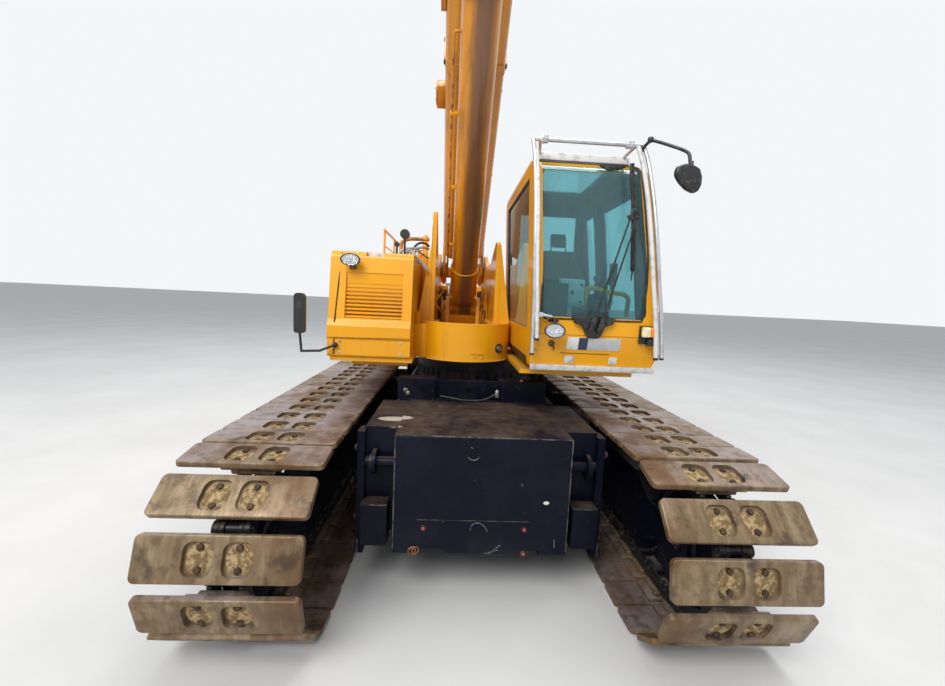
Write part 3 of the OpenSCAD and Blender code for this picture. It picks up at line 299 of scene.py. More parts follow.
def painted(made, shader, mask, first, second, layers=()):
    """Two colours by a mask, and over them layers of a mask, its strength and a colour."""
    tone = mixed(made, mask, first, second)
    for cover, strength, colour in layers:
        tone = mixed(made, cover if strength == 1 else weaker(made, cover, strength), tone, colour)
    steer(made, shader, "Base Color", tone)


def low_band(made, bottom, top):
    """1 at the height bottom and below, 0 at the height top and above."""
    nodes, links = made.node_tree.nodes, made.node_tree.links
    where = nodes.new("ShaderNodeTexCoord")
    parts = nodes.new("ShaderNodeSeparateXYZ")
    step = nodes.new("ShaderNodeMapRange")
    step.interpolation_type = "SMOOTHSTEP"
    step.inputs["From Min"].default_value = top
    step.inputs["From Max"].default_value = bottom
    links.new(where.outputs["Object"], parts.inputs[0])
    links.new(parts.outputs["Z"], step.inputs["Value"])
    return step.outputs[0]


def middle_band(made, centre, half, soft):
    """1 within half of the X place centre, falling to 0 over soft on either side."""
    nodes, links = made.node_tree.nodes, made.node_tree.links
    where = nodes.new("ShaderNodeTexCoord")
    parts = nodes.new("ShaderNodeSeparateXYZ")
    step = nodes.new("ShaderNodeMapRange")
    step.interpolation_type = "SMOOTHSTEP"
    step.inputs["From Min"].default_value = half + soft
    step.inputs["From Max"].default_value = half
    shift = nodes.new("ShaderNodeMath")
    shift.operation = "SUBTRACT"
    shift.inputs[1].default_value = centre
    size = nodes.new("ShaderNodeMath")
    size.operation = "ABSOLUTE"
    for source, target in (
        (where.outputs["Object"], parts.inputs[0]),
        (parts.outputs["X"], shift.inputs[0]),
        (shift.outputs[0], size.inputs[0]),
        (size.outputs[0], step.inputs["Value"]),
    ):
        links.new(source, target)
    return step.outputs[0]


def product(made, a, b):
    """One mask times another."""
    step = made.node_tree.nodes.new("ShaderNodeMath")
    step.operation = "MULTIPLY"
    made.node_tree.links.new(a, step.inputs[0])
    made.node_tree.links.new(b, step.inputs[1])
    return step.outputs[0]


def dress(node, made):
    """Gives a CAD node its finish."""
    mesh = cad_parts[node].data
    if not mesh.materials:
        mesh.materials.append(made)
    for i in range(len(mesh.materials)):
        mesh.materials[i] = made


def as_piece(name, shape, made, body, smooth=30):
    """Makes the bmesh a piece with one finish that rides on a body."""
    mesh = bpy.data.meshes.new(name)
    shape.to_mesh(mesh)
    shape.free()
    piece = bpy.data.objects.new(name, mesh)
    bpy.context.scene.collection.objects.link(piece)
    mesh.materials.append(made)
    if smooth:
        mesh.shade_smooth()
        mesh.set_sharp_from_angle(angle=math.radians(smooth))
    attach(piece, body)
    return piece


# Floor: a plain pale studio floor with the ground's height at zero.
concrete, shader = surface("studio_floor", (0.62, 0.61, 0.59), 0.9)
stain = feed(concrete, blotches, Scale=0.6, Low=0.3, High=0.75)
steer(
    concrete, shader, "Base Color", mixed(concrete, stain, (0.60, 0.59, 0.57), (0.66, 0.65, 0.63))
)
ground = bmesh.new()
bmesh.ops.create_grid(ground, x_segments=1, y_segments=1, size=160)
floor_mesh = bpy.data.meshes.new("floor")
ground.to_mesh(floor_mesh)
ground.free()
floor_mesh.materials.append(concrete)
floor = bpy.data.objects.new("floor", floor_mesh)
bpy.context.scene.collection.objects.link(floor)


def block(shape, low, high, edge=0.0, steps=2, place=None):
    """A box between two corners, turned by place and its edges then rounded by edge."""
    low, high = Vector(low), Vector(high)
    lie = Matrix.Translation((low + high) / 2) @ Matrix.Diagonal((*(high - low), 1))
    made = bmesh.ops.create_cube(
        shape, size=1, matrix=lie if place is None else place @ lie
    )["verts"]
    if edge:
        rims = list({e for v in made for e in v.link_edges})
        bmesh.ops.bevel(
            shape, geom=rims, offset=edge, segments=steps, profile=0.5, affect="EDGES", material=-1
        )
    return made


def round_bar(shape, start, end, radius, sides=20, edge=0.0, tip=None, place=None):
    """A round bar between two points, turned by place and its rims then rounded by edge."""
    start, end = Vector(start), Vector(end)
    along = end - start
    lie = Matrix.Translation((start + end) / 2) @ along.to_track_quat("Z", "Y").to_matrix().to_4x4()
    made = bmesh.ops.create_cone(
        shape, cap_ends=True, segments=sides, radius1=radius,
        radius2=radius if tip is None else tip,
        depth=along.length, matrix=lie if place is None else place @ lie,
    )["verts"]
    if edge:
        rims = [
            e for e in {e for v in made for e in v.link_edges}
            if any(len(f.verts) > 4 for f in e.link_faces)
        ]
        bmesh.ops.bevel(
            shape, geom=rims, offset=edge, segments=2, profile=0.5, affect="EDGES", material=-1
        )
    return made


def bolt_head(shape, at, out, radius=0.018, height=0.014, washer=True):
    """A hexagon head on its washer, standing out along out."""
    at, out = Vector(at), Vector(out).normalized()
    if washer:
        round_bar(shape, at, at + out * height * 0.25, radius * 1.45, sides=16)
    round_bar(shape, at, at + out * height, radius, sides=6, edge=radius * 0.08)


def bolt_circle(shape, middle, radius, count, side, head, height, turn=0.0):
    """Bolt heads in a circle about an axis along X, facing to a side."""
    x, y, z = middle
    for i in range(count):
        a = math.tau * i / count + turn
        at = (x, y + radius * math.cos(a), z + radius * math.sin(a))
        bolt_head(shape, at, (side, 0, 0), head, height)


def pipe(name, points, radius, made, body, bend=0.0, sides=6):
    """A round tube through points, its corners bent; a mesh of its own."""
    line = bpy.data.curves.new(name, "CURVE")
    line.dimensions = "3D"
    line.bevel_depth = radius
    line.bevel_resolution = sides
    line.use_fill_caps = True
    path = [Vector(p) for p in points]
    if bend:
        eased = [path[0]]
        for before, corner, after in zip(path, path[1:], path[2:]):
            back, ahead = (before - corner), (after - corner)
            reach = min(bend, back.length * 0.45, ahead.length * 0.45)
            a, b = corner + back.normalized() * reach, corner + ahead.normalized() * reach
            for i in range(7):
                t = i / 6
                eased.append(a * (1 - t) ** 2 + corner * 2 * t * (1 - t) + b * t * t)
        path = eased + [path[-1]]
    spline = line.splines.new("POLY")
    spline.points.add(len(path) - 1)
    for point, at in zip(spline.points, path):
        point.co = (*at, 1)
    drawn = bpy.data.objects.new(name + "_line", line)
    bpy.context.scene.collection.objects.link(drawn)
    bpy.context.view_layer.update()
    mesh = bpy.data.meshes.new_from_object(
        drawn.evaluated_get(bpy.context.evaluated_depsgraph_get())
    )
    bpy.data.objects.remove(drawn)
    bpy.data.curves.remove(line)
    mesh.name = name
    mesh.materials.clear()
    mesh.materials.append(made)
    mesh.shade_smooth()
    mesh.set_sharp_from_angle(angle=math.radians(50))
    piece = bpy.data.objects.new(name, mesh)
    bpy.context.scene.collection.objects.link(piece)
    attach(piece, body)
    return piece


# Track chains: forged links and pins under flat shoes of 900 mm, one fixed loop on each side.
# A shoe is a cast steel plate with a thick middle and two deep pockets that hold its four bolts.
PITCH, RUN_LINKS, TURN_LINKS = 0.26, 17.5, 5.5
SHOE_WIDTH, SHOE_OUT, SHOE_THICK, SHOE_GAP = 0.9, 0.148, 0.036, 0.008
PHASES = {-1: 0.21, 1: 0.46}
TRACK_X = 1.48
PITCH_R = PITCH / (2 * math.sin(math.radians(90 / TURN_LINKS)))
WHEEL_Y = RUN_LINKS * PITCH / 2
AXLE_Z = PITCH_R + SHOE_OUT

# Shoe steel: rust, stains and mud over base tones that are darkened as painted shade of the shoes.
worn_shaded_steel, shader = surface("worn_shoe_steel_painted_shade_and_sheen", (0.42, 0.34, 0.24), 0.5, metal=0.25)
rust = feed(worn_shaded_steel, blotches, Scale=2.1, Low=0.46, High=0.70, Stretch=(1.3, 0.9, 0.9))
mud = feed(worn_shaded_steel, blotches, Scale=5.0, Low=0.54, High=0.68)
# Painted sheen: faces that look up are lightened to lilac grey, a painted reflection of the sky.
sheen = feed(worn_shaded_steel, dust_and_sheen, Low=0.80, High=0.97, Scale=1.2)
fleck = feed(worn_shaded_steel, blotches, Scale=18.0, Low=0.35, High=0.75, Stretch=(1.0, 0.2, 0.2))
stain = feed(worn_shaded_steel, blotches, Scale=11.0, Low=0.50, High=0.64)
inner_end = product(
    worn_shaded_steel, middle_band(worn_shaded_steel, 0.0, 1.10, 0.30),
    feed(worn_shaded_steel, blotches, Scale=4.0, Low=0.36, High=0.6)
)
painted(worn_shaded_steel, shader, fleck, (0.17, 0.115, 0.062), (0.32, 0.235, 0.140), [
    (sheen, 0.9, (0.33, 0.275, 0.285)),
    (rust, 0.8, (0.135, 0.070, 0.028)),
    (stain, 0.5, (0.075, 0.046, 0.023)),
    (inner_end, 0.7, (0.115, 0.052, 0.018)),
    (mud, 0.75, (0.040, 0.026, 0.016)),
])
steer(worn_shaded_steel, shader, "Roughness", mixed(worn_shaded_steel, rust, 0.42, 0.8))
steer(worn_shaded_steel, shader, "Metallic", mixed(worn_shaded_steel, rust, 0.35, 0.05))
bumped(worn_shaded_steel, shader, feed(worn_shaded_steel, grain, Scale=55.0, Wave=6.0), 0.004, 0.7)

rusty_head = flecked(
    "rusty_bolt", (0.030, 0.022, 0.017), (0.095, 0.050, 0.024), 26.0, 0.4, 0.62, 0.7, metal=0.3
)
dried_mud = flecked(
    "dried_mud", (0.17, 0.105, 0.045), (0.40, 0.29, 0.145), 30.0, 0.42, 0.62, 0.95,
    (120.0, 20.0, 0.008, 1.0)
)

oily_iron, shader = surface("oily_iron", (0.022, 0.020, 0.020), 0.45, metal=0.3)
scuff = feed(oily_iron, blotches, Scale=9.0, Low=0.52, High=0.66)
steer(
    oily_iron, shader, "Base Color",
    mixed(oily_iron, scuff, (0.018, 0.017, 0.018), (0.085, 0.058, 0.040))
)
steer(oily_iron, shader, "Roughness", mixed(oily_iron, scuff, 0.38, 0.75))
bumped(oily_iron, shader, feed(oily_iron, grain, Scale=70.0, Wave=5.0), 0.003, 0.6)

# One shoe, flat, its outer face down at z = -SHOE_OUT and its length along X
POCKET_X, POCKET_W, POCKET_L, POCKET_DEEP = 0.106, 0.164, 0.182, 0.026
plate = bmesh.new()
half = PITCH / 2 - SHOE_GAP / 2
block(plate, (-SHOE_WIDTH / 2, -half, -SHOE_OUT), (SHOE_WIDTH / 2, half, -SHOE_OUT + SHOE_THICK))
corners = [e for e in plate.edges if abs((e.verts[0].co - e.verts[1].co).z) > SHOE_THICK / 2]
bmesh.ops.bevel(
    plate, geom=corners, offset=0.034, segments=5, profile=0.5, affect="EDGES", material=-1
)
rims = [e for e in plate.edges if all(abs(v.co.z + SHOE_OUT) < 1e-6 for v in e.verts)]
bmesh.ops.bevel(
    plate, geom=rims, offset=0.009, segments=3, profile=0.5, affect="EDGES", material=-1
)
cutters = bmesh.new()
for side in (-1, 1):
    pocket = block(
        cutters,
        (side * POCKET_X - POCKET_W / 2, -POCKET_L / 2, -SHOE_OUT - 0.03),
        (side * POCKET_X + POCKET_W / 2, POCKET_L / 2, -SHOE_OUT + POCKET_DEEP),
    )
    upright = [
        e for e in {e for v in pocket for e in v.link_edges}
        if abs((e.verts[0].co - e.verts[1].co).z) > 0.03
    ]
    bmesh.ops.bevel(
        cutters, geom=upright, offset=0.052, segments=6, profile=0.5, affect="EDGES", material=-1
    )
parts = []
for shape, label in ((plate, "shoe_blank"), (cutters, "shoe_pockets")):
    mesh = bpy.data.meshes.new(label)
    shape.to_mesh(mesh)
    shape.free()
    parts.append(bpy.data.objects.new(label, mesh))
    bpy.context.scene.collection.objects.link(parts[-1])
cut = parts[0].modifiers.new("pockets", "BOOLEAN")
cut.object = parts[1]
cut.solver = "EXACT"
bpy.context.view_layer.update()
shoe_mesh = bpy.data.meshes.new_from_object(
    parts[0].evaluated_get(bpy.context.evaluated_depsgraph_get())
)
for part in parts:
    bpy.data.objects.remove(part)


def chain_frames(side):
    """Place of each link of a track: its middle on the line of the pins, -Z outwards."""
    places, turn, links = [], 180 / TURN_LINKS, int(2 * (RUN_LINKS + TURN_LINKS))
    for i in range(links):
        ends = []
        for t in ((i + PHASES[side]) % links, (i + 1 + PHASES[side]) % links):
            back = RUN_LINKS + TURN_LINKS
            if t <= RUN_LINKS:
                ends.append(Vector((0, WHEEL_Y - t * PITCH, PITCH_R)))
            elif t <= back:
                a = math.radians(90 + (t - RUN_LINKS) * turn)
                ends.append(Vector((0, PITCH_R * math.cos(a) - WHEEL_Y, PITCH_R * math.sin(a))))
            elif t <= back + RUN_LINKS:
                ends.append(Vector((0, (t - back) * PITCH - WHEEL_Y, -PITCH_R)))
            else:
                a = math.radians((t - back - RUN_LINKS) * turn - 90)
                ends.append(Vector((0, WHEEL_Y + PITCH_R * math.cos(a), PITCH_R * math.sin(a))))
        run = ends[1] - ends[0]
        lie = Matrix.Rotation(math.atan2(run.z, run.y), 4, "X")
        places.append(
            Matrix.Translation((ends[0] + ends[1]) / 2 + Vector((side * TRACK_X, 0, AXLE_Z))) @ lie
        )
    return places


for side, label in ((-1, "left"), (1, "right")):
    shoes, muck, chain, heads = bmesh.new(), bmesh.new(), bmesh.new(), bmesh.new()
    for number, place in enumerate(chain_frames(side)):
        copy = shoe_mesh.copy()
        copy.transform(place)
        shoes.from_mesh(copy)
        bpy.data.meshes.remove(copy)
        # Thick middle under the plate, where the links bolt on
        block(
            shoes, (-0.19, -0.108, -SHOE_OUT + SHOE_THICK - 0.001), (0.19, 0.108, -0.082),
            0.014, 2, place
        )
        block(shoes, (-0.135, -0.092, -0.084), (0.135, 0.092, -0.044), 0.010, 1, place)
        for pocket in (-1, 1):
            for end in (-1, 1):
                at = Vector((pocket * POCKET_X, end * 0.058, -SHOE_OUT + POCKET_DEEP))
                round_bar(
                    heads, at, at + Vector((0, 0, -0.017)), 0.021, sides=6, edge=0.004, place=place
                )
            # Mud trodden into the pocket, a low cushion on its floor
            thick = 0.002 + 0.006 * random.random()
            pad = round_bar(
                muck, (pocket * POCKET_X, 0, -SHOE_OUT + POCKET_DEEP + 0.002),
                (pocket * POCKET_X, 0, -SHOE_OUT + POCKET_DEEP - thick), 0.094, sides=20, tip=0.078,
            )
            bmesh.ops.scale(
                muck, vec=(0.84, 0.95, 1), space=Matrix.Translation((-pocket * POCKET_X, 0, 0)),
                verts=pad
            )
            bmesh.ops.transform(muck, matrix=place, verts=pad)
        # Two link plates, the bush and the pin
        for x in (-0.088, 0.088):
            block(chain, (x - 0.018, -0.098, -0.046), (x + 0.018, 0.098, 0.046), 0.010, 1, place)
            round_bar(
                chain, (x - 0.020, PITCH / 2, 0), (x + 0.020, PITCH / 2, 0), 0.046, 16,
                0.004, place=place
            )
            inner = 0.052 if x > 0 else -0.052
            round_bar(
                chain, (inner - 0.016, -PITCH / 2, 0), (inner + 0.016, -PITCH / 2, 0), 0.046, 16,
                0.004, place=place
            )
            block(
                chain, (inner - 0.016, -PITCH / 2, -0.040), (inner + 0.016, -0.06, 0.040),
                0.006, 1, place
            )
        round_bar(
            chain, (-0.118, PITCH / 2, 0), (0.118, PITCH / 2, 0), 0.024, 14, 0.004, place=place
        )
        round_bar(chain, (-0.07, PITCH / 2, 0), (0.07, PITCH / 2, 0), 0.034, 14, place=place)
    loop = as_piece("shoes_" + label, shoes, worn_shaded_steel, "undercarriage")
    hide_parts("track_" + label)
    as_piece("shoe_bolts_" + label, heads, rusty_head, "undercarriage")
    as_piece("shoe_mud_" + label, muck, dried_mud, "undercarriage")
    as_piece("chain_" + label, chain, oily_iron, "undercarriage")

# Undercarriage castings and plates: near-black navy paint under a film of oil and dust, on the
# track frames, carbody, sprockets and idlers.
navy, shader = surface("navy_chassis_paint", (0.004, 0.005, 0.011), 0.45, specular=0.15)
tone_mask = feed(navy, blotches, Scale=3.2, Low=0.44, High=0.66)
dust = feed(navy, dust_and_sheen, Low=0.55, High=0.95, Scale=2.2)
spatter = feed(navy, blotches, Scale=22.0, Low=0.60, High=0.68)
painted(navy, shader, tone_mask, (0.0035, 0.0042, 0.010), (0.008, 0.009, 0.015), [
    (spatter, 0.3, (0.05, 0.036, 0.024)),
    (dust, 0.6, (0.055, 0.038, 0.027)),
])
steer(navy, shader, "Roughness", mixed(navy, dust, mixed(navy, tone_mask, 0.30, 0.52), 0.85))
bumped(navy, shader, feed(navy, grain, Scale=40.0, Wave=3.0), 0.003, 0.5)
for node in ("carbody", "track_frame_left", "track_frame_right", "sprockets", "idlers"):
    dress(node, navy)

# Slewing ring: a black painted ring with its seal lip and a circle of bolts below the deck.
ring_black = flecked(
    "ring_black", (0.005, 0.005, 0.006), (0.022, 0.017, 0.013), 6.0, 0.48, 0.62, 0.4, specular=0.22
)
dress("slew_ring", ring_black)
RING_BOLTS, RING_BOLT_R, RING_TOP = 40, 0.668, 1.3253
studs = bmesh.new()
for i in range(RING_BOLTS):
    a = 2 * math.pi * i / RING_BOLTS
    bolt_head(
        studs, (RING_BOLT_R * math.cos(a), RING_BOLT_R * math.sin(a), RING_TOP), (0, 0, 1),
        0.017, 0.022
    )
as_piece("ring_bolts", studs, oily_iron, "undercarriage")

# Bolts of the undercarriage: the final drives' cover screws and the idlers' cap screws.
screws = bmesh.new()
for side in (-1, 1):
    face = side * (TRACK_X - 0.105 - 0.190)
    bolt_circle(screws, (face, WHEEL_Y, AXLE_Z), 0.185, 16, -side, 0.014, 0.014)
    for out in (side, -side):
        hub = (side * TRACK_X + out * 0.117, -WHEEL_Y, AXLE_Z)
        bolt_circle(screws, hub, 0.038, 6, out, 0.008, 0.008)
as_piece("undercarriage_screws", screws, oily_iron, "undercarriage")

# Turntable: the welded main frame with its round nose, the channel that the luffing cylinder
# lies in and the cheeks that carry the boom; gloss warm yellow paint, lightly dusty.
YELLOW = (0.84, 0.375, 0.008)
yellow, shader = surface("yellow_paint", YELLOW, 0.32, coat=0.18, specular=0.35)
faded = feed(yellow, blotches, Scale=0.9, Low=0.35, High=0.70)
streak = feed(yellow, blotches, Scale=9.0, Low=0.55, High=0.72, Stretch=(1.0, 1.0, 0.16))
dust = feed(yellow, dust_and_sheen, Low=0.60, High=0.98, Scale=3.0)
chips = feed(yellow, blotches, Scale=48.0, Low=0.705, High=0.715)
painted(yellow, shader, faded, YELLOW, (0.80, 0.35, 0.012), [
    (streak, 0.35, (0.42, 0.20, 0.03)),
    (dust, 0.45, (0.40, 0.27, 0.12)),
    (chips, 0.8, (0.06, 0.03, 0.02)),
])
steer(yellow, shader, "Roughness", mixed(yellow, dust, mixed(yellow, streak, 0.30, 0.45), 0.75))
bumped(yellow, shader, feed(yellow, grain, Scale=90.0, Wave=2.2), 0.0016, 0.35)
for node in (
    "turntable", "side_housing", "housing_grille", "engine_hood", "tank_hood", "counterweight",
    "winch_frame", "handrails", "hook_block",
):
    dress(node, yellow)

# Small parts of the upper works: satin black castings and brackets, silver tube for the guard
# rails, and bare machined steel on the hoist drum and the sheaves in the boom's head.
black = flecked(
    "satin_black", (0.015, 0.015, 0.016), (0.040, 0.037, 0.034), 14.0, 0.52, 0.68, 0.42,
    (160.0, 4.0, 0.0012, 0.4), coat=0.1
)
for node in ("engine_block", "deck_mirror", "deck_lamps", "cab_floor", "console", "hook"):
    dress(node, black)

silver = flecked(
    "silver_tube", (0.62, 0.63, 0.65), (0.48, 0.48, 0.49), 12.0, 0.45, 0.7, 0.3, metal=0.85
)

machined = flecked(
    "machined_steel", (0.42, 0.41, 0.40), (0.16, 0.12, 0.09), 8.0, 0.5, 0.66, 0.38, metal=0.9
)
for node in ("hoist_drum", "head_sheaves"):
    dress(node, machined)

# Luffing cylinder: the frame's yellow with a long dark brownish streak along its middle that is a
# painted reflection, and a chromed rod.
barrel_paint, shader = surface("barrel_paint", (0.72, 0.27, 0.010), 0.26, coat=0.3)
# Painted reflection: a dark brownish band along the middle of the barrel.
tone_mask = middle_band(barrel_paint, -0.125, 0.035, 0.085)
runs = feed(barrel_paint, blotches, Scale=5.0, Low=0.44, High=0.66, Stretch=(3.0, 0.3, 0.3))
painted(barrel_paint, shader, runs, (0.72, 0.28, 0.010), (0.46, 0.165, 0.010), [
    (tone_mask, 0.8, (0.105, 0.060, 0.052)),
])
bumped(barrel_paint, shader, feed(barrel_paint, grain, Scale=70.0, Wave=2.0), 0.0014, 0.3)
dress("luff_barrel", barrel_paint)

chrome, shader = surface("rod_chrome", (0.72, 0.73, 0.75), 0.08, metal=1.0)
sheen = feed(chrome, blotches, Scale=5.0, Low=0.5, High=0.75, Stretch=(1, 0.2, 0.2))
steer(chrome, shader, "Roughness", mixed(chrome, sheen, 0.06, 0.16))
dress("luff_rod", chrome)

rope_steel = surface("rope_steel", (0.20, 0.185, 0.165), 0.5, metal=0.7)[0]
dress("hoist_falls", rope_steel)

# Boom: the same warm yellow on the base section and the telescopic sections, made darker and
# browner as painted shade, with a painted reflection as a dark streak along its middle.
boom_yellow, shader = surface("boom_paint", (0.66, 0.27, 0.014), 0.34, coat=0.25)
aged = feed(boom_yellow, blotches, Scale=1.1, Low=0.38, High=0.68)
runs = feed(boom_yellow, blotches, Scale=5.0, Low=0.54, High=0.70, Stretch=(3.0, 0.35, 0.35))
grime = feed(boom_yellow, blotches, Scale=30.0, Low=0.64, High=0.70)
# Its first layer is a painted reflection: a dark brownish streak along the boom's middle.
painted(boom_yellow, shader, aged, (0.70, 0.29, 0.018), (0.52, 0.20, 0.020), [
    (middle_band(boom_yellow, -0.12, 0.045, 0.13), 0.5, (0.17, 0.085, 0.050)),
    (runs, 0.45, (0.25, 0.11, 0.03)),
    (grime, 0.4, (0.10, 0.06, 0.03)),
])
bumped(boom_yellow, shader, feed(boom_yellow, grain, Scale=80.0, Wave=1.6), 0.002, 0.35)
for node in ("boom_base", "tele_1", "tele_2", "tele_3", "tele_4", "tele_5"):
    dress(node, boom_yellow)

# Panes of the cab and its door: clear safety glass with a blue-green tint.
glass = surface("tinted_glass", (0.40, 0.70, 0.74), 0.0, ior=1.35, clear=0.92)[0]
for node in ("cab_glass", "door_glass"):
    dress(node, glass)


# Central ballast, front and rear: steel plate boxes hung on the carbody, their tops trodden brown,
# with a dried pale spill, bolts on the side plates and the ends of the locking pins.
def slab(shape, outline, low, high, axis="y", edge=0.0, steps=2, place=None):
    """A plate cut to an outline and given its thickness from low to high along an axis."""
    turn = {
        "x": lambda a, b, c: (c, a, b), "y": lambda a, b, c: (a, c, b), "z": lambda a, b,
        c: (a, b, c)
    }[axis]
    part = bmesh.new()
    face = part.faces.new([part.verts.new(turn(a, b, low)) for a, b in outline])
    grown = bmesh.ops.extrude_face_region(part, geom=[face])["geom"]
    moved = [v for v in grown if isinstance(v, bmesh.types.BMVert)]
    bmesh.ops.translate(part, vec=turn(0, 0, high - low), verts=moved)
    bmesh.ops.recalc_face_normals(part, faces=part.faces)
    if edge:
        bmesh.ops.bevel(
            part, geom=part.edges[:], offset=edge, segments=steps, profile=0.5, affect="EDGES",
            material=-1
        )
    put(shape, part, place)


def put(shape, part, place=None):
    """Moves a part to its place and joins it to a shape."""
    if place is not None:
        part.transform(place)
    mesh = bpy.data.meshes.new("part")
    part.to_mesh(mesh)
    part.free()
    shape.from_mesh(mesh)
    bpy.data.meshes.remove(mesh)


def ring(shape, radius, tube, place, turns=40, sides=10):
    """A closed ring of round section about the place's Z."""
    part = bmesh.new()
    lie = Matrix.Translation((radius, 0, 0)) @ Matrix.Rotation(math.pi / 2, 4, "X")
    section = bmesh.ops.create_circle(part, segments=sides, radius=tube, matrix=lie)["verts"]
    rims = list({e for v in section for e in v.link_edges})
    bmesh.ops.spin(
        part, geom=section + rims, cent=(0, 0, 0), axis=(0, 0, 1), angle=2 * math.pi, steps=turns,
        use_merge=True
    )
    bmesh.ops.recalc_face_normals(part, faces=part.faces)
    put(shape, part, place)


def seat_on(at, out, up=(0, 0, 1)):
    """A place whose Z stands out of a surface and whose Y points up along it."""
    z = Vector(out).normalized()
    x = Vector(up).cross(z).normalized()
    return Matrix.Translation(Vector(at)) @ Matrix((x, z.cross(x), z)).transposed().to_4x4()


def landed(node, start, toward=(0, 1, 0)):
    """Where a line from start, well outside a CAD node, meets it, and which way it faces there."""
    hit, at, out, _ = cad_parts[node].ray_cast(Vector(start), Vector(toward).normalized())
    if not hit:
        raise ValueError(f"no surface of {node} ahead of {start}")
    return at, out


def spot(made, centre, radius, ragged=0.5, scale=7.0, flat=(1, 1, 1)):
    """A mask, 1 near a point and 0 past the radius, with a ragged edge; flat squeezes it."""
    nodes, links = made.node_tree.nodes, made.node_tree.links
    where = nodes.new("ShaderNodeTexCoord")
    away = nodes.new("ShaderNodeVectorMath")
    away.operation = "SUBTRACT"
    away.inputs[1].default_value = centre
    squeeze = nodes.new("ShaderNodeVectorMath")
    squeeze.operation = "MULTIPLY"
    squeeze.inputs[1].default_value = flat
    length = nodes.new("ShaderNodeVectorMath")
    length.operation = "LENGTH"
    cloud = nodes.new("ShaderNodeTexNoise")
    cloud.inputs["Scale"].default_value = scale
    cloud.inputs["Detail"].default_value = 5
    far = nodes.new("ShaderNodeMath")
    far.operation = "MULTIPLY_ADD"
    far.inputs[1].default_value = 2 * ragged * radius
    step = nodes.new("ShaderNodeMapRange")
    step.interpolation_type = "SMOOTHSTEP"
    step.inputs["From Min"].default_value = radius * (1.1 + ragged)
    step.inputs["From Max"].default_value = radius * (0.8 + ragged)
    for source, target in (
        (where.outputs["Object"], away.inputs[0]),
        (where.outputs["Object"], cloud.inputs["Vector"]),
        (away.outputs[0], squeeze.inputs[0]),
        (squeeze.outputs[0], length.inputs[0]),
        (cloud.outputs[0], far.inputs[0]),
        (length.outputs["Value"], far.inputs[2]),
        (far.outputs[0], step.inputs["Value"]),
    ):
        links.new(source, target)
    return step.outputs[0]


BLOCK_X, BLOCK_Y, BALLAST_TOP = 0.645, 2.09, 1.26
ballast_paint, shader = surface("ballast_paint", (0.004, 0.005, 0.012), 0.42, specular=0.15)
tone_mask = feed(ballast_paint, blotches, Scale=2.4, Low=0.42, High=0.68)
trodden = feed(ballast_paint, dust_and_sheen, Low=0.80, High=0.97, Scale=2.6)
dusty = feed(ballast_paint, dust_and_sheen, Low=0.80, High=0.97, Scale=11.0)
specks = feed(ballast_paint, blotches, Scale=38.0, Low=0.68, High=0.70)
lower = low_band(ballast_paint, 0.36, 0.60)
smear = feed(ballast_paint, blotches, Scale=5.0, Low=0.40, High=0.66, Stretch=(1.0, 1.0, 0.4))
spilt = spot(ballast_paint, (-0.70, -1.655, 1.26), 0.13, 0.30, 8.0, (0.9, 2.0, 1.0))
drops = spot(ballast_paint, (-0.69, -1.90, 1.26), 0.045, 0.5, 14.0, (0.7, 1.4, 1.0))
chip = spot(ballast_paint, (0.471, -2.09, 0.779), 0.016, 0.5, 30.0, (0.7, 1.0, 1.2))
painted(ballast_paint, shader, tone_mask, (0.0030, 0.0038, 0.011), (0.0060, 0.0075, 0.017), [
    (product(ballast_paint, lower, smear), 0.75, (0.014, 0.017, 0.024)),
    (specks, 0.5, (0.06, 0.042, 0.03)),
    (trodden, 0.92, (0.045, 0.029, 0.021)),
    (product(ballast_paint, dusty, trodden), 0.5, (0.12, 0.085, 0.062)),
    (spilt, 0.85, (0.46, 0.42, 0.33)),
    (drops, 0.8, (0.42, 0.38, 0.30)),
    (chip, 1, (0.70, 0.68, 0.62)),
])
steer(ballast_paint, shader, "Roughness", mixed(ballast_paint, trodden, 0.36, 0.9))
bumped(ballast_paint, shader, feed(ballast_paint, grain, Scale=34.0, Wave=2.5), 0.003, 0.5)
for node in ("front_ballast", "rear_ballast"):
    dress(node, ballast_paint)

rubbed_edge = flecked(
    "rubbed_edge", (0.020, 0.022, 0.034), (0.13, 0.115, 0.10), 14.0, 0.42, 0.6, 0.5, metal=0.3
)
rusty = flecked(
    "rusty_steel", (0.28, 0.13, 0.05), (0.10, 0.05, 0.028), 26.0, 0.4, 0.65, 0.8,
    (150.0, 12.0, 0.002, 0.9), metal=0.3
)
red_cap = flecked("red_caps", (0.48, 0.07, 0.08), (0.26, 0.05, 0.05), 60.0, 0.4, 0.6, 0.4, coat=0.2)

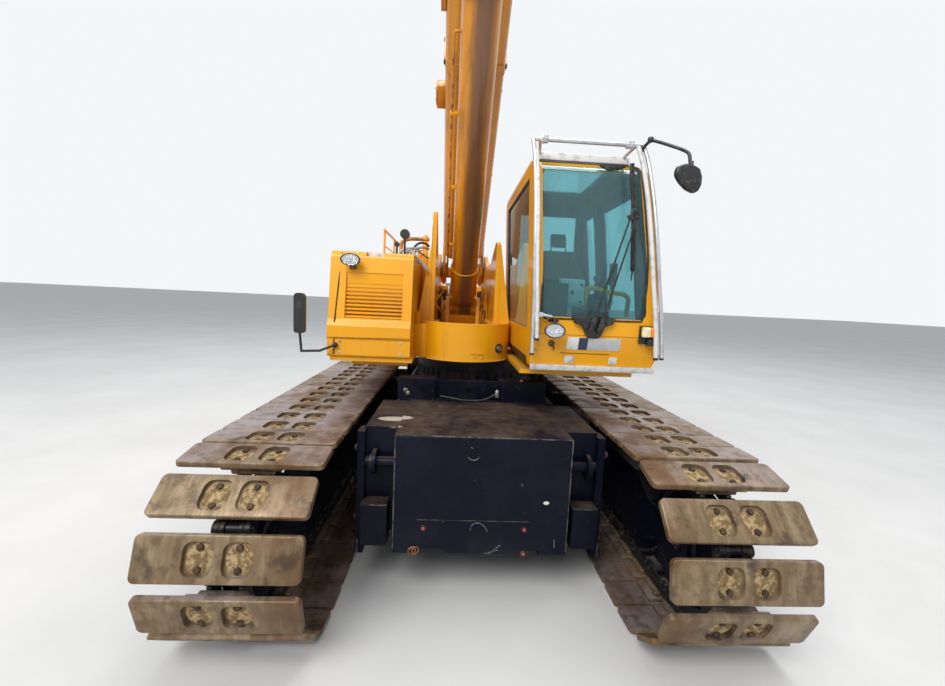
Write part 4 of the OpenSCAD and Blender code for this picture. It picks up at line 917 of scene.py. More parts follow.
PIN_Y, PIN_Z = 1.93, 0.998
rims, plugs, caps, rusted = bmesh.new(), bmesh.new(), bmesh.new(), bmesh.new()
for end in (-1, 1):
    y = end * BLOCK_Y
    low, high = sorted((y - end * 0.004, y + end * 0.0015))
    block(rims, (-BLOCK_X, low, BALLAST_TOP - 0.007), (BLOCK_X, high, BALLAST_TOP + 0.002), 0.002)
    block(rims, (-0.47, min(y, y + end * 0.0012), 0.627), (0.36, max(y, y + end * 0.0012), 0.631))
    for side in (-1, 1):
        x = side * (BLOCK_X - 0.003)
        block(rims, (x - 0.004, low, 0.40), (x + 0.004, high, BALLAST_TOP), 0.0015)
        inner, outer = sorted((side * 0.70, side * 0.892))
        block(
            rims, (inner, end * 2.006 - 0.006, 0.687), (outer, end * 2.006 + 0.006, 0.6945), 0.002
        )
        round_bar(
            plugs, (side * 0.824, end * PIN_Y, PIN_Z), (side * 0.848, end * PIN_Y, PIN_Z),
            0.060, 28, 0.005
        )
        round_bar(
            plugs, (side * 0.842, end * PIN_Y, PIN_Z), (side * 0.868, end * PIN_Y, PIN_Z),
            0.026, 6, 0.003
        )
        for py, pz in ((1.93, 1.10), (1.93, 0.56), (1.98, 0.33)):
            bolt_head(plugs, (side * 0.943, end * py, pz), (side, 0, 0), 0.020, 0.016)
    for x, z in ((-0.423, 0.566), (0.321, 0.570), (0.325, 0.381)):
        round_bar(caps, (x, y, z), (x, y + end * 0.012, z), 0.013, 14, 0.004)
        ring(plugs, 0.020, 0.004, seat_on((x, y + end * 0.002, z), (0, end, 0)), 20, 6)
    bolt_head(plugs, (-0.279, y, 0.619), (0, end, 0), 0.010, 0.006, False)
    # Tie-down eye at a lower corner, rusted where the shackle rubs
    for lean in (-0.014, 0.010):
        ring(
            rusted, 0.026, 0.007,
            seat_on((-0.485 + lean, y + end * 0.008, 0.395), (0.4 * (lean != 0), end, 0)), 24, 8
        )
as_piece("ballast_rims", rims, rubbed_edge, "undercarriage")
as_piece("ballast_plugs", plugs, oily_iron, "undercarriage")
as_piece("ballast_caps", caps, red_cap, "undercarriage")
as_piece("tie_down_eyes", rusted, rusty, "undercarriage")

# Scratches in the front face of the ballast, down to grey primer.
scratch_grey = flecked("scratch_grey", (0.26, 0.26, 0.27), (0.06, 0.06, 0.07), 50.0, 0.4, 0.6, 0.6)
for number, points in enumerate((
    ((-0.118, 1.112), (-0.10, 1.095), (-0.074, 1.088), (-0.05, 1.096), (-0.032, 1.116)),
    (
        (-0.078, 0.555), (-0.070, 0.592), (-0.045, 0.612), (-0.005, 0.612), (0.031, 0.583),
        (0.05, 0.545)
    ),
    ((0.034, 0.375), (0.085, 0.392), (0.12, 0.42), (0.152, 0.447)),
    ((0.06, 0.372), (0.11, 0.40), (0.135, 0.405)),
    ((0.550, 0.495), (0.554, 0.43)),
    ((-0.10, 1.185), (-0.085, 1.175)),
    ((0.28, 0.92), (0.295, 0.90)),
)):
    pipe(
        f"scratch_{number}", [(x, -BLOCK_Y, z) for x, z in points], 0.0022, scratch_grey,
        "undercarriage", 0, 1
    )

# Fittings in the gap under the turntable: a lubrication hose, a small plated bracket, two bolt
# heads and a red stud on the carbody's boxes, and a thin mark beside each end of the ballast.
rubber = flecked(
    "black_rubber", (0.012, 0.012, 0.013), (0.050, 0.044, 0.037), 22.0, 0.48, 0.64, 0.55,
    (200.0, 8.0, 0.0008, 0.5)
)
plated = flecked(
    "plated_steel", (0.60, 0.58, 0.52), (0.22, 0.15, 0.09), 30.0, 0.48, 0.62, 0.32, metal=0.9
)
pipe("carbody_hose", [
    (-0.36, -1.03, 1.30), (-0.24, -1.055, 1.29), (-0.147, -1.06, 1.274), (-0.02, -1.06, 1.272),
    (0.08, -1.05, 1.285),
    (0.17, -1.02, 1.33),
], 0.010, rubber, "undercarriage", 0.06)
small = bmesh.new()
slab(
    small, [(0.170, 1.305), (0.204, 1.305), (0.204, 1.372), (0.190, 1.386), (0.170, 1.372)], -1.050,
    -1.038, "y", 0.002
)
slab(small, [(-1.048, 1.305), (-1.0, 1.305), (-1.0, 1.33), (-1.048, 1.318)], 0.170, 0.176, "x")
for x, z in ((-0.690, 1.352), (-0.668, 1.322)):
    bolt_head(small, (x, landed("carbody", (x, -1.4, z))[0].y, z), (0, -1, 0), 0.014, 0.016)
as_piece("carbody_fittings", small, plated, "undercarriage")
stud = bmesh.new()
at = landed("carbody", (0.424, -1.0, 2.0), (0, 0, -1))[0]
round_bar(stud, at, at + Vector((0, 0, 0.020)), 0.019, 20, 0.006)
as_piece("carbody_stud", stud, red_cap, "undercarriage")
marks = bmesh.new()
for side in (-1, 1):
    low, high = sorted((side * 0.914, side * 0.924))
    block(marks, (low, -1.9925, 0.30), (high, -1.9895, 0.412), 0.001)
as_piece("width_marks", marks, rubbed_edge, "undercarriage")

# Turntable fittings: a plugged round socket and two small bracket plates on the nose, and weld
# beads round the nose's foot and along the posts and the channel.
def bead(shape, points, thick=0.006, sides=8):
    """A weld bead laid along a line of points."""
    for start, end in zip(points, points[1:]):
        round_bar(shape, start, end, thick, sides)


NOSE_X, NOSE_Y, NOSE_R, DECK = -0.15, -0.375, 0.505, 1.615
socket, plug = bmesh.new(), bmesh.new()
face = seat_on((0.2125, -0.7335, 1.75), (0.5, -0.866, 0))
ring(socket, 0.038, 0.011, face, 32, 10)
round_bar(socket, (0, 0, -0.02), (0, 0, 0.004), 0.034, 24, 0, place=face)
round_bar(plug, (0, 0, 0.003), (0, 0, 0.014), 0.021, 6, 0.003, place=face)
ring(plug, 0.026, 0.004, face @ Matrix.Translation((0, 0, 0.006)), 24, 6)
as_piece("nose_socket", socket, rubber, "upper")
as_piece("nose_plug", plug, plated, "upper")
bracket = bmesh.new()
for x, wide, z, lean in ((-0.052, 0.048, 1.706, 0.10), (0.020, 0.062, 1.700, -0.12)):
    at, out = landed("turntable", (x, -2.0, z))
    place = seat_on(at, out) @ Matrix.Rotation(lean, 4, "Z")
    block(bracket, (-wide / 2, -0.009, -0.004), (wide / 2, 0.009, 0.010), 0.003, 2, place)
    block(
        bracket, (wide / 2 - 0.020, -0.052, -0.004), (wide / 2 - 0.006, -0.004, 0.007),
        0.002, 2, place
    )
for a in range(-60, 61, 4):
    a0, a1 = math.radians(a - 90), math.radians(a - 86)
    bead(bracket, [
        (
            NOSE_X + NOSE_R * math.cos(t), NOSE_Y + NOSE_R * math.sin(t), DECK + 0.004
        ) for t in (a0, a1)
    ], 0.005, 6)
for side, top in ((-1, 2.99), (1, 2.72)):
    x = NOSE_X + side * 0.371
    bead(bracket, [(x, -0.401, DECK + 0.372), (x, -0.401, top)], 0.0045, 6)
    bead(
        bracket,
        [(NOSE_X + side * 0.324, -0.30, DECK + 0.372), (NOSE_X + side * 0.324, 0.90, DECK + 0.372)],
        0.006, 6
    )
as_piece("nose_bracket", bracket, yellow, "upper")

# Lines at the foot of the luffing cylinder: steel tubes painted over with the frame, a rubber
# hose, and the unions that they are screwed into.
worn_yellow = flecked(
    "worn_yellow_hose", (0.66, 0.27, 0.015), (0.22, 0.10, 0.03), 14.0, 0.42, 0.62, 0.5
)
grey_sleeve = flecked(
    "grey_sleeve", (0.56, 0.56, 0.54), (0.30, 0.28, 0.25), 20.0, 0.42, 0.62, 0.6,
    (260.0, 40.0, 0.002, 0.8)
)
for name, radius, made, points in (
    (
        "foot_line_low", 0.011, worn_yellow,
        [
            (-0.500, -0.30, 2.20), (-0.470, -0.28, 2.165), (-0.43, -0.20, 2.12),
            (-0.392, -0.10, 2.06), (-0.385, 0.0, 1.90)
        ]
    ),
    (
        "foot_line_high", 0.011, worn_yellow,
        [
            (-0.505, -0.26, 2.21), (-0.45, -0.22, 2.225), (-0.405, -0.16, 2.29),
            (-0.39, -0.05, 2.33), (-0.385, 0.15, 2.30)
        ]
    ),
    (
        "foot_hose", 0.018, rubber,
        [
            (-0.432, 0.16, 2.30), (-0.430, 0.05, 2.25), (-0.430, -0.02, 2.16),
            (-0.432, -0.02, 1.98), (-0.434, 0.05, 1.75)
        ]
    ),
    (
        "right_line", 0.012, worn_yellow,
        [
            (0.092, 0.45, 1.75), (0.095, 0.40, 2.15), (0.096, 0.30, 2.30), (0.102, 0.34, 2.40),
            (0.110, 0.50, 2.42), (0.120, 0.75, 2.36), (0.120, 0.99, 2.20)
        ]
    ),
    (
        "right_line_short", 0.009, worn_yellow,
        [
            (0.100, 0.30, 1.75), (0.110, 0.22, 2.10), (0.120, 0.16, 2.24), (0.130, 0.18, 2.36),
            (0.140, 0.34, 2.41), (0.150, 0.70, 2.30)
        ]
    ),
):
    pipe(name, points, radius, made, "upper", 0.05, 4)
ends = bmesh.new()
for at, toward, radius in (
    ((-0.432, 0.16, 2.30), (0.1, 1, 0.1), 0.024), ((-0.500, -0.30, 2.20), (-1, 0, 0.4), 0.020),
    ((-0.505, -0.26, 2.21), (-1, 0, -0.2), 0.020), ((-0.430, -0.02, 2.17), (0.1, 0.2, 1), 0.023),
    ((0.095, 0.40, 2.15), (0, 0.1, 1), 0.020),
):
    at, toward = Vector(at), Vector(toward).normalized()
    round_bar(ends, at - toward * 0.020, at + toward * 0.020, radius, 6, 0.003)
    round_bar(ends, at + toward * 0.018, at + toward * 0.032, radius * 0.8, 16, 0.002)
as_piece("foot_unions", ends, oily_iron, "upper")

# Luffing cylinder's own line: a steel tube clamped along the barrel up to the port at its gland,
# with the gland's screws and two rings round the barrel.
FOOT, CYLINDER_TURN = Vector((NOSE_X, 0.50, 2.145)), math.radians(46.632)
CYLINDER_DIR = Vector((0, -math.cos(CYLINDER_TURN), math.sin(CYLINDER_TURN)))
CYLINDER_UP = Vector((0, math.sin(CYLINDER_TURN), math.cos(CYLINDER_TURN)))


def by_barrel(along, aside, above=0.0):
    """A point at a distance up the cylinder, beside and above its middle line."""
    return FOOT + CYLINDER_DIR * along + Vector((aside, 0, 0)) + CYLINDER_UP * above


pipe("barrel_line", [
    by_barrel(0.50, -0.150, -0.02), by_barrel(0.50, -0.205, -0.02), by_barrel(0.75, -0.205, -0.02),
    by_barrel(2.78, -0.200, 0.0), by_barrel(2.95, -0.20, 0.0), by_barrel(2.95, -0.145, 0.0),
], 0.011, worn_yellow, "luff_cylinder", 0.05, 4)
clamps, screws = bmesh.new(), bmesh.new()
lie = seat_on(FOOT, CYLINDER_DIR, (0, 0, 1))
for along in (0.95, 1.65, 2.35):
    at = by_barrel(along, -0.172)
    block(
        clamps, (-0.030, -0.020, -0.016), (0.045, 0.020, 0.016), 0.004, 2,
        seat_on(at, CYLINDER_DIR) @ Matrix.Rotation(math.pi, 4, "Z")
    )
    bolt_head(screws, by_barrel(along, -0.172, 0.020), CYLINDER_UP, 0.008, 0.008)
ring(clamps, 0.163, 0.006, lie @ Matrix.Translation((0, 0, 0.642)), 48, 8)
ring(clamps, 0.163, 0.005, lie @ Matrix.Translation((0, 0, 3.188)), 48, 8)
for i in range(12):
    a = math.tau * (i + 0.5) / 12
    bolt_head(
        screws, lie @ Vector((0.130 * math.cos(a), 0.130 * math.sin(a), 3.300)), CYLINDER_DIR,
        0.013, 0.012
    )
ring(screws, 0.103, 0.006, lie @ Matrix.Translation((0, 0, 3.301)), 40, 8)
as_piece("barrel_clamps", clamps, yellow, "luff_cylinder")
as_piece("gland_screws", screws, plated, "luff_cylinder")

# Side housing: bolted lower panel, door strip with its rubber edge, hinges and latches, a pale
# bare plate under the top edge and an oval working lamp on a small bracket.
head_black = flecked(
    "lamp_black", (0.013, 0.013, 0.014), (0.06, 0.055, 0.05), 30.0, 0.5, 0.66, 0.35, coat=0.2
)
reflector, shader = surface("lamp_reflector", (0.80, 0.81, 0.83), 0.12, metal=1.0)
steer(
    reflector, shader, "Roughness",
    mixed(reflector, feed(reflector, blotches, Scale=42.0, Low=0.45, High=0.55), 0.06, 0.3)
)
bumped(reflector, shader, feed(reflector, grain, Scale=40.0, Wave=45.0), 0.012, 1.0)
lens, shader = surface("lamp_lens", (0.90, 0.92, 0.94), 0.06, clear=0.9)
bumped(lens, shader, feed(lens, grain, Scale=30.0, Wave=60.0), 0.004, 0.8)


def oval_lamp(name, at, out, wide, tall, body):
    """A working lamp: black bowl and rim, stippled reflector and clear lens, facing out."""
    bowl, bright, front = bmesh.new(), bmesh.new(), bmesh.new()
    place = seat_on(at, out) @ Matrix.Diagonal((wide / 2, tall / 2, 1, 1))
    round_bar(bowl, (0, 0, 0.0), (0, 0, 0.052), 0.72, 36, 0, 0.97, place)
    ring(
        bowl, 0.95, 0.085,
        place @ Matrix.Translation((0, 0, 0.056)) @ Matrix.Diagonal((1, 1, 0.11, 1)), 44, 10
    )
    round_bar(bright, (0, 0, 0.050), (0, 0, 0.056), 0.80, 36, 0, 0.90, place)
    for x in (-0.40, 0.0, 0.40):
        ring(
            bright, 0.19, 0.05,
            place @ Matrix.Translation((x, 0, 0.057)) @ Matrix.Diagonal((1, 1.3, 0.05, 1)), 18, 6
        )
    round_bar(front, (0, 0, 0.060), (0, 0, 0.066), 0.90, 36, 0, 0.80, place)
    as_piece(name + "_bowl", bowl, head_black, body)
    as_piece(name + "_reflector", bright, reflector, body)
    as_piece(name + "_lens", front, lens, body)


HOUSE_LEFT, HOUSE_TOP = -1.4153, 2.635
at, out = landed("side_housing", (-1.215, -2.0, 2.560))
out = (Vector(out) + Vector((0.05, -1.6, -0.5))).normalized()
oval_lamp("housing_lamp", at + out * 0.055, out, 0.175, 0.112, "upper")
stand, strip, screws = bmesh.new(), bmesh.new(), bmesh.new()
foot, lean = landed("side_housing", (-1.205, -2.0, 2.478))
block(stand, (-0.032, -0.016, -0.002), (0.030, 0.016, 0.010), 0.003, 2, seat_on(foot, lean))
block(stand, (-0.012, -0.012, 0.004), (0.010, 0.055, 0.016), 0.003, 2, seat_on(foot, lean))
round_bar(
    stand, Vector(at) + Vector((0, -0.004, -0.055)), Vector(at) + Vector((0, -0.060, -0.030)),
    0.012, 14, 0.002
)
round_bar(stand, Vector(at) + Vector((0, 0.0, 0.0)), Vector(at) + out * 0.06, 0.022, 16)
as_piece("housing_lamp_stand", stand, rusty, "upper")

# Rubber strip between the door panel and the front, which leans out towards the sill
line = []
for x, z in ((-1.318, 2.615), (-1.335, 2.30), (-1.350, 2.05), (-1.352, 1.98), (-1.352, 1.68)):
    spot_at, _ = landed("side_housing", (x, -2.0, z))
    line.append(spot_at + Vector((0, -0.001, 0)))
pipe("door_strip", line, 0.0065, rubber, "upper", 0, 2)
seam_dark = flecked("seam_shadow", (0.11, 0.036, 0.01), (0.05, 0.02, 0.01), 12.0, 0.4, 0.6, 0.7)
for name, left, right, z in (
    ("sill_seam", -1.345, -0.66, 1.832), ("panel_seam", -1.13, -1.02, 1.832)
):
    ends = [
        landed("side_housing", (x, -2.0, z + 0.02 * (x + 1.4)))[0] + Vector((0, -0.0005, 0))
        for x in (left, right)
    ]
    pipe(name, ends, 0.0028, seam_dark, "upper", 0, 1)
for x, z in ((-0.745, 1.800), (-0.742, 1.698), (-1.30, 1.800), (-1.30, 1.698)):
    at, out = landed("side_housing", (x, -2.0, z))
    bolt_head(screws, at, out, 0.009, 0.007)
for y in (-0.72, 0.46):
    for z in (1.86, 2.42):
        bolt_head(screws, (HOUSE_LEFT, y, z), (-1, 0, 0), 0.010, 0.008)
as_piece("housing_screws", screws, plated, "upper")
white_paint = flecked(
    "bare_plate", (0.68, 0.68, 0.66), (0.44, 0.42, 0.38), 16.0, 0.46, 0.7, 0.42, coat=0.15
)
plate = bmesh.new()
block(plate, (-1.094, -0.915, 2.575), (-0.937, -0.905, 2.632), 0.002)
as_piece("housing_plate", plate, white_paint, "upper")
fittings, pads = bmesh.new(), bmesh.new()
for z in (1.84, 2.50):
    # Hinge knuckles of the side door, and its two flush latches
    round_bar(
        fittings, (HOUSE_LEFT - 0.012, -0.845, z - 0.05), (HOUSE_LEFT - 0.012, -0.845, z + 0.05),
        0.012, 14, 0.003
    )
    block(
        fittings, (HOUSE_LEFT - 0.006, -0.90, z - 0.035), (HOUSE_LEFT + 0.002, -0.80, z + 0.035),
        0.002
    )
    block(
        pads, (HOUSE_LEFT - 0.005, 0.515, z - 0.055), (HOUSE_LEFT + 0.001, 0.595, z + 0.055), 0.004
    )
    round_bar(
        fittings, (HOUSE_LEFT - 0.004, 0.555, z), (HOUSE_LEFT - 0.013, 0.555, z), 0.017, 18, 0.003
    )
as_piece("housing_hinges", fittings, plated, "upper")
as_piece("housing_latches", pads, black, "upper")

# Hose bundle between the housing and the turntable: grey sleeves, a rubber hose, a steel tube and
# a yellow bar, each in an oily socket on the housing's top.
for name, radius, made, points in (
    (
        "deck_sleeve", 0.021, grey_sleeve,
        [
            (-0.800, -0.46, 2.640), (-0.770, -0.50, 2.700), (-0.735, -0.505, 2.712),
            (-0.679, -0.50, 2.650), (-0.604, -0.48, 2.575), (-0.56, -0.44, 2.52)
        ]
    ),
    (
        "deck_hose_1", 0.014, grey_sleeve,
        [
            (-0.870, -0.40, 2.637), (-0.850, -0.44, 2.705), (-0.800, -0.45, 2.735),
            (-0.70, -0.44, 2.74), (-0.62, -0.36, 2.77), (-0.56, -0.30, 2.76)
        ]
    ),
    (
        "deck_hose_2", 0.012, rubber,
        [
            (-0.755, -0.36, 2.637), (-0.735, -0.39, 2.72), (-0.68, -0.40, 2.80),
            (-0.61, -0.36, 2.82), (-0.56, -0.30, 2.79)
        ]
    ),
    (
        "deck_hose_3", 0.010, plated,
        [
            (-0.715, -0.36, 2.637), (-0.705, -0.39, 2.70), (-0.675, -0.40, 2.755),
            (-0.66, -0.36, 2.72), (-0.60, -0.32, 2.68), (-0.56, -0.30, 2.66)
        ]
    ),
    (
        "deck_bar", 0.020, worn_yellow,
        [(-0.87, -0.28, 2.640), (-0.86, -0.28, 2.83), (-0.78, -0.28, 2.86), (-0.56, -0.28, 2.865)]
    ),
):
    pipe(name, points, radius, made, "upper", 0.05, 4)
sockets = bmesh.new()
for x, y in ((-0.800, -0.46), (-0.870, -0.40), (-0.755, -0.36), (-0.715, -0.36), (-0.87, -0.28)):
    round_bar(sockets, (x, y, HOUSE_TOP), (x, y, HOUSE_TOP + 0.030), 0.028, 6, 0.004)
as_piece("deck_sockets", sockets, oily_iron, "upper")

# Cab front: a rubber seal round the windscreen, a pale bumper strip, bare plates, and the fold
# and seam of the lower panel, all fixed on the yellow steel shell.
def on_front(x, z, proud=0.0):
    """A point on the cab's front at a place of the front view, and the way out of it."""
    at, out = landed("cab_front", (x, -3.0, z))
    return at + out * proud, out


def strip_on_front(name, line, radius, proud=0.0):
    """A dark seam laid on the cab's front along places of the front view."""
    pipe(name, [on_front(x, z, proud)[0] for x, z in line], radius, seam_dark, "cab", 0, 3)


rim = [
    (0.418, 2.16), (0.414, 2.45), (0.405, 2.75), (0.395, 3.05), (0.380, 3.30), (0.376, 3.392),
    (0.41, 3.412),
    (0.75, 3.412), (1.10, 3.412), (1.142, 3.395), (1.157, 3.30), (1.195, 3.00), (1.222, 2.70),
    (1.238, 2.45),
    (1.252, 2.18), (1.222, 2.125), (1.10, 2.122), (0.75, 2.122), (0.45, 2.122), (0.418, 2.16),
]
gasket = []
for (x0, z0), (x1, z1) in zip(rim, rim[1:]):
    for i in range(6):
        t = i / 6
        gasket.append((x0 + (x1 - x0) * t, z0 + (z1 - z0) * t))
seal_line = []
for x, z in gasket:
    hit, at, out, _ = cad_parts["cab_front"].ray_cast(Vector((x, -3.0, z)), Vector((0, 1, 0)))
    if hit and at.y < -1.2:
        seal_line.append(at + out * 0.001)
pipe("screen_seal", seal_line, 0.0075, rubber, "cab", 0, 3)

bumper = bmesh.new()
slab(
    bumper, [(-1.630, 1.6975), (-1.662, 1.6975), (-1.676, 1.744), (-1.642, 1.747)], 0.372,
    1.395, "x", 0.004
)
for x in (0.43, 0.70, 1.02, 1.33):
    bolt_head(bumper, (x, -1.669, 1.721), (0, -1, -0.3), 0.008, 0.005, False)
as_piece("cab_bumper", bumper, white_paint, "cab")
plate_navy = flecked(
    "plate_navy", (0.018, 0.030, 0.072), (0.035, 0.042, 0.070), 18.0, 0.45, 0.7, 0.35, coat=0.2
)
plates, stripe, frames, rivets = bmesh.new(), bmesh.new(), bmesh.new(), bmesh.new()
for x0, x1, z0, z1 in (
    (0.648, 1.080, 1.876, 1.981), (0.645, 0.722, 1.762, 1.823), (1.010, 1.078, 1.762, 1.823)
):
    at, out = on_front((x0 + x1) / 2, (z0 + z1) / 2)
    place, wide, tall = seat_on(at, out), (x1 - x0) / 2, (z1 - z0) / 2
    block(plates, (-wide, -tall, -0.002), (wide, tall, 0.004), 0.0015, 2, place)
    for x in (0.007 - wide, wide - 0.007):
        for y in (0.007 - tall, tall - 0.007):
            round_bar(rivets, (x, y, 0.003), (x, y, 0.0055), 0.003, 10, 0.001, place=place)
    if wide > 0.1:
        block(
            stripe, (-wide + 0.092, -tall + 0.001, 0.002), (-wide + 0.166, tall - 0.001, 0.0048),
            0.0005, 1, place
        )
        block(
            frames, (-wide + 0.170, -tall + 0.004, 0.002), (wide - 0.004, tall - 0.004, 0.0046),
            0.0005, 1, place
        )
as_piece("bare_plates", plates, white_paint, "cab")
as_piece("plate_stripe", stripe, plate_navy, "cab")
as_piece("plate_field", frames, silver, "cab")
as_piece("plate_rivets", rivets, plated, "cab")
strip_on_front("panel_seam_low", [(0.605 + i * 0.05, 1.846) for i in range(9)], 0.003)
strip_on_front("fold_line", [(0.39 + 0.97 * i / 12, 1.997) for i in range(13)], 0.002, -0.0008)

# Lamps of the cab: an oval headlamp under a clamp on the silver tube, a cable gland below it,
# and a two-colour marker lamp on a black bracket at the right corner.
at, out = on_front(0.528, 2.028)
out = Vector((-0.05, -1.0, -0.02)).normalized()
oval_lamp("headlamp", at + Vector((-0.010, -0.045, 0.004)), out, 0.160, 0.112, "cab")
holder = bmesh.new()
top, up = on_front(0.520, 2.112)
block(holder, (-0.040, -0.016, -0.004), (0.040, 0.016, 0.012), 0.003, 2, seat_on(top, up))
round_bar(
    holder, top + Vector((0, -0.035, 0.004)), top + Vector((0, -0.075, -0.040)), 0.013, 14, 0.002
)
round_bar(holder, top, top + Vector((0, -0.045, 0.004)), 0.014, 14, 0.002)
round_bar(holder, at, at + Vector((0, -0.046, 0)), 0.030, 20, 0.004)
as_piece("headlamp_holder", holder, head_black, "cab")
gland, tail = on_front(0.520, 1.925)
glands = bmesh.new()
round_bar(glands, gland, gland + tail * 0.022, 0.026, 24, 0.004)
round_bar(glands, gland + tail * 0.020, gland + tail * 0.034, 0.016, 6, 0.003)
as_piece("cable_gland", glands, rusty, "cab")
low, _ = on_front(0.545, 1.864)
pipe("gland_cable", [
    gland + tail * 0.030, gland + tail * 0.042 + Vector((0.010, 0, -0.012)),
    low + Vector((0.004, -0.010, 0.028)), low + Vector((0.0, 0.001, 0.0)),
], 0.005, rubber, "cab", 0.012, 3)
amber = flecked(
    "amber_lens", (0.86, 0.24, 0.025), (0.60, 0.12, 0.02), 24.0, 0.42, 0.66, 0.12,
    (40.0, 70.0, 0.003, 0.8), coat=0.4
)
pale_lens = flecked(
    "pale_lens", (0.84, 0.76, 0.50), (0.72, 0.52, 0.22), 24.0, 0.42, 0.66, 0.12,
    (40.0, 70.0, 0.003, 0.8), coat=0.4
)
corner, out = on_front(1.283, 2.045)
place = seat_on(corner, (0.05, -1.0, 0.0))
shell, warm, pale = bmesh.new(), bmesh.new(), bmesh.new()
block(shell, (-0.070, -0.046, -0.004), (0.066, 0.048, 0.024), 0.006, 3, place)
block(shell, (-0.070, -0.098, -0.004), (0.070, -0.044, 0.006), 0.004, 2, place)
block(shell, (-0.010, -0.110, 0.0), (0.064, -0.052, 0.034), 0.008, 2, place)
block(pale, (-0.064, -0.040, 0.022), (0.004, 0.042, 0.058), 0.012, 4, place)
block(warm, (0.005, -0.040, 0.022), (0.060, 0.042, 0.056), 0.012, 4, place)
for x in (-0.060, 0.058):
    bolt_head(shell, place @ Vector((x, -0.078, 0.005)), (0, -1, 0), 0.006, 0.005, False)
as_piece("marker_shell", shell, head_black, "cab")
as_piece("marker_amber", warm, amber, "cab")
as_piece("marker_pale", pale, pale_lens, "cab")

# Guard rails: a bent silver tube with feet on the cab, a white bar beside it on either side,
# clamps on the roof bar, a short stub to the left post and plastic caps at the open ends.
def eased(points, steps=8):
    """The same route as a smooth line through the points."""
    line, last = [], len(points) - 1
    for i in range(last):
        before, start, end, after = (
            Vector(points[max(0, min(last, i + k))]) for k in (-1, 0, 1, 2)
        )
        slope, bend = end - before, 2 * before - 5 * start + 4 * end - after
        rest = 3 * start - before - 3 * end + after
        for j in range(steps):
            t = j / steps
            line.append(0.5 * (2 * start + slope * t + bend * t ** 2 + rest * t ** 3))
    return line + [points[-1]]


BAR_Y, BAR_Z = -1.66, 3.485
right_bend = [
    (1.155, BAR_Y, BAR_Z), (1.190, -1.70, 3.34), (1.232, -1.752, 3.06), (1.268, -1.79, 2.755),
    (1.315, -1.795, 2.42), (1.365, -1.785, 2.12), (1.398, -1.77, 1.845)
]
left_bend = [
    (0.290, BAR_Y, BAR_Z), (0.305, -1.70, 3.34), (0.322, -1.752, 3.02), (0.335, -1.79, 2.595),
    (0.350, -1.785, 2.20), (0.36, -1.77, 1.845)
]
rails = pipe(
    "guard_rails", eased(left_bend)[::-1] + [(0.72, BAR_Y, BAR_Z)] + eased(right_bend), 0.016,
    silver, "cab", 0.02, 5
)
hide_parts("cab_guard")
feet = bmesh.new()
for x, y, z, toward in (
    (0.36, -1.77, 1.86, (0.44, -1.63, 1.86)), (1.398, -1.77, 1.86, (1.345, -1.63, 1.86)),
    (0.335, -1.79, 2.60, (0.385, -1.70, 2.60)), (1.262, -1.79, 2.80, (1.225, -1.66, 2.80)),
    (0.345, BAR_Y, BAR_Z, (0.42, -1.27, 3.425)), (1.10, BAR_Y, BAR_Z, (1.06, -1.27, 3.425)),
):
    round_bar(feet, (x, y, z), toward, 0.012, 14, 0.002)
as_piece("guard_feet", feet, silver, "cab")
inner = [(x - 0.045, y + 0.004, z) for x, y, z in right_bend]
pipe("guard_white_bar", eased(inner), 0.018, white_paint, "cab", 0, 5)
pipe(
    "guard_left_bar",
    eased(
        [
            (0.318, -1.685, 3.40), (0.338, -1.765, 3.02), (0.352, -1.797, 2.60),
            (0.378, -1.797, 2.15), (0.388, -1.79, 1.965)
        ]
    ),
    0.0155, white_paint, "cab", 0, 5
)
clamps = bmesh.new()
for x0, x1 in ((0.345, 0.405), (1.015, 1.075)):
    block(clamps, (x0, -1.682, 3.460), (x1, -1.638, 3.512), 0.006)
    for x in (x0 + 0.015, x1 - 0.015):
        bolt_head(clamps, (x, -1.682, 3.486), (0, -1, 0), 0.008, 0.008)
        round_bar(clamps, (x, -1.66, 3.508), (x, -1.66, 3.522), 0.006, 8, 0.001)
for x in (0.62, 0.83):
    ring(clamps, 0.0165, 0.003, seat_on((x, BAR_Y, BAR_Z), (1, 0, 0)), 20, 6)
block(clamps, (0.345, -1.799, 2.132), (0.425, -1.765, 2.168), 0.005)
stub, _ = on_front(0.478, 2.116)
round_bar(clamps, (0.400, -1.783, 2.150), (0.496, -1.779, 2.136), 0.013, 16, 0.002)
round_bar(clamps, (0.478, -1.779, 2.136), stub, 0.011, 16, 0.002)
as_piece("guard_clamps", clamps, silver, "cab")
ends = bmesh.new()
round_bar(ends, (0.388, -1.79, 1.968), (0.388, -1.79, 1.945), 0.0175, 18, 0.004)
round_bar(ends, (1.353, -1.766, 1.848), (1.354, -1.766, 1.826), 0.020, 18, 0.004)
for x in (0.36, 1.398):
    round_bar(ends, (x, -1.77, 1.848), (x, -1.77, 1.830), 0.018, 18, 0.004)
as_piece("guard_caps", ends, head_black, "cab")

# Windscreen wiper: motor under a black cover in the lower panel, two parallel arms and a long
# upright blade with its joint bracket; this piece stands for the plain CAD wiper.
def between(start, end):
    """The place halfway between two points, its Y along the line, and the line's length."""
    start, end = Vector(start), Vector(end)
    along = end - start
    side = along.cross(Vector((0, 1, 0))).normalized()
    turn = Matrix((side, along.normalized(), side.cross(along.normalized()))).transposed().to_4x4()
    return Matrix.Translation((start + end) / 2) @ turn, along.length


def arm(points, wide, thick):
    """Flat bars of the wiper from point to point."""
    for start, end in zip(points, points[1:]):
        place, length = between(start, end)
        block(
            wiper, (-wide / 2, -length / 2, -thick / 2), (wide / 2, length / 2, thick / 2),
            thick * 0.25, 1, place,
        )


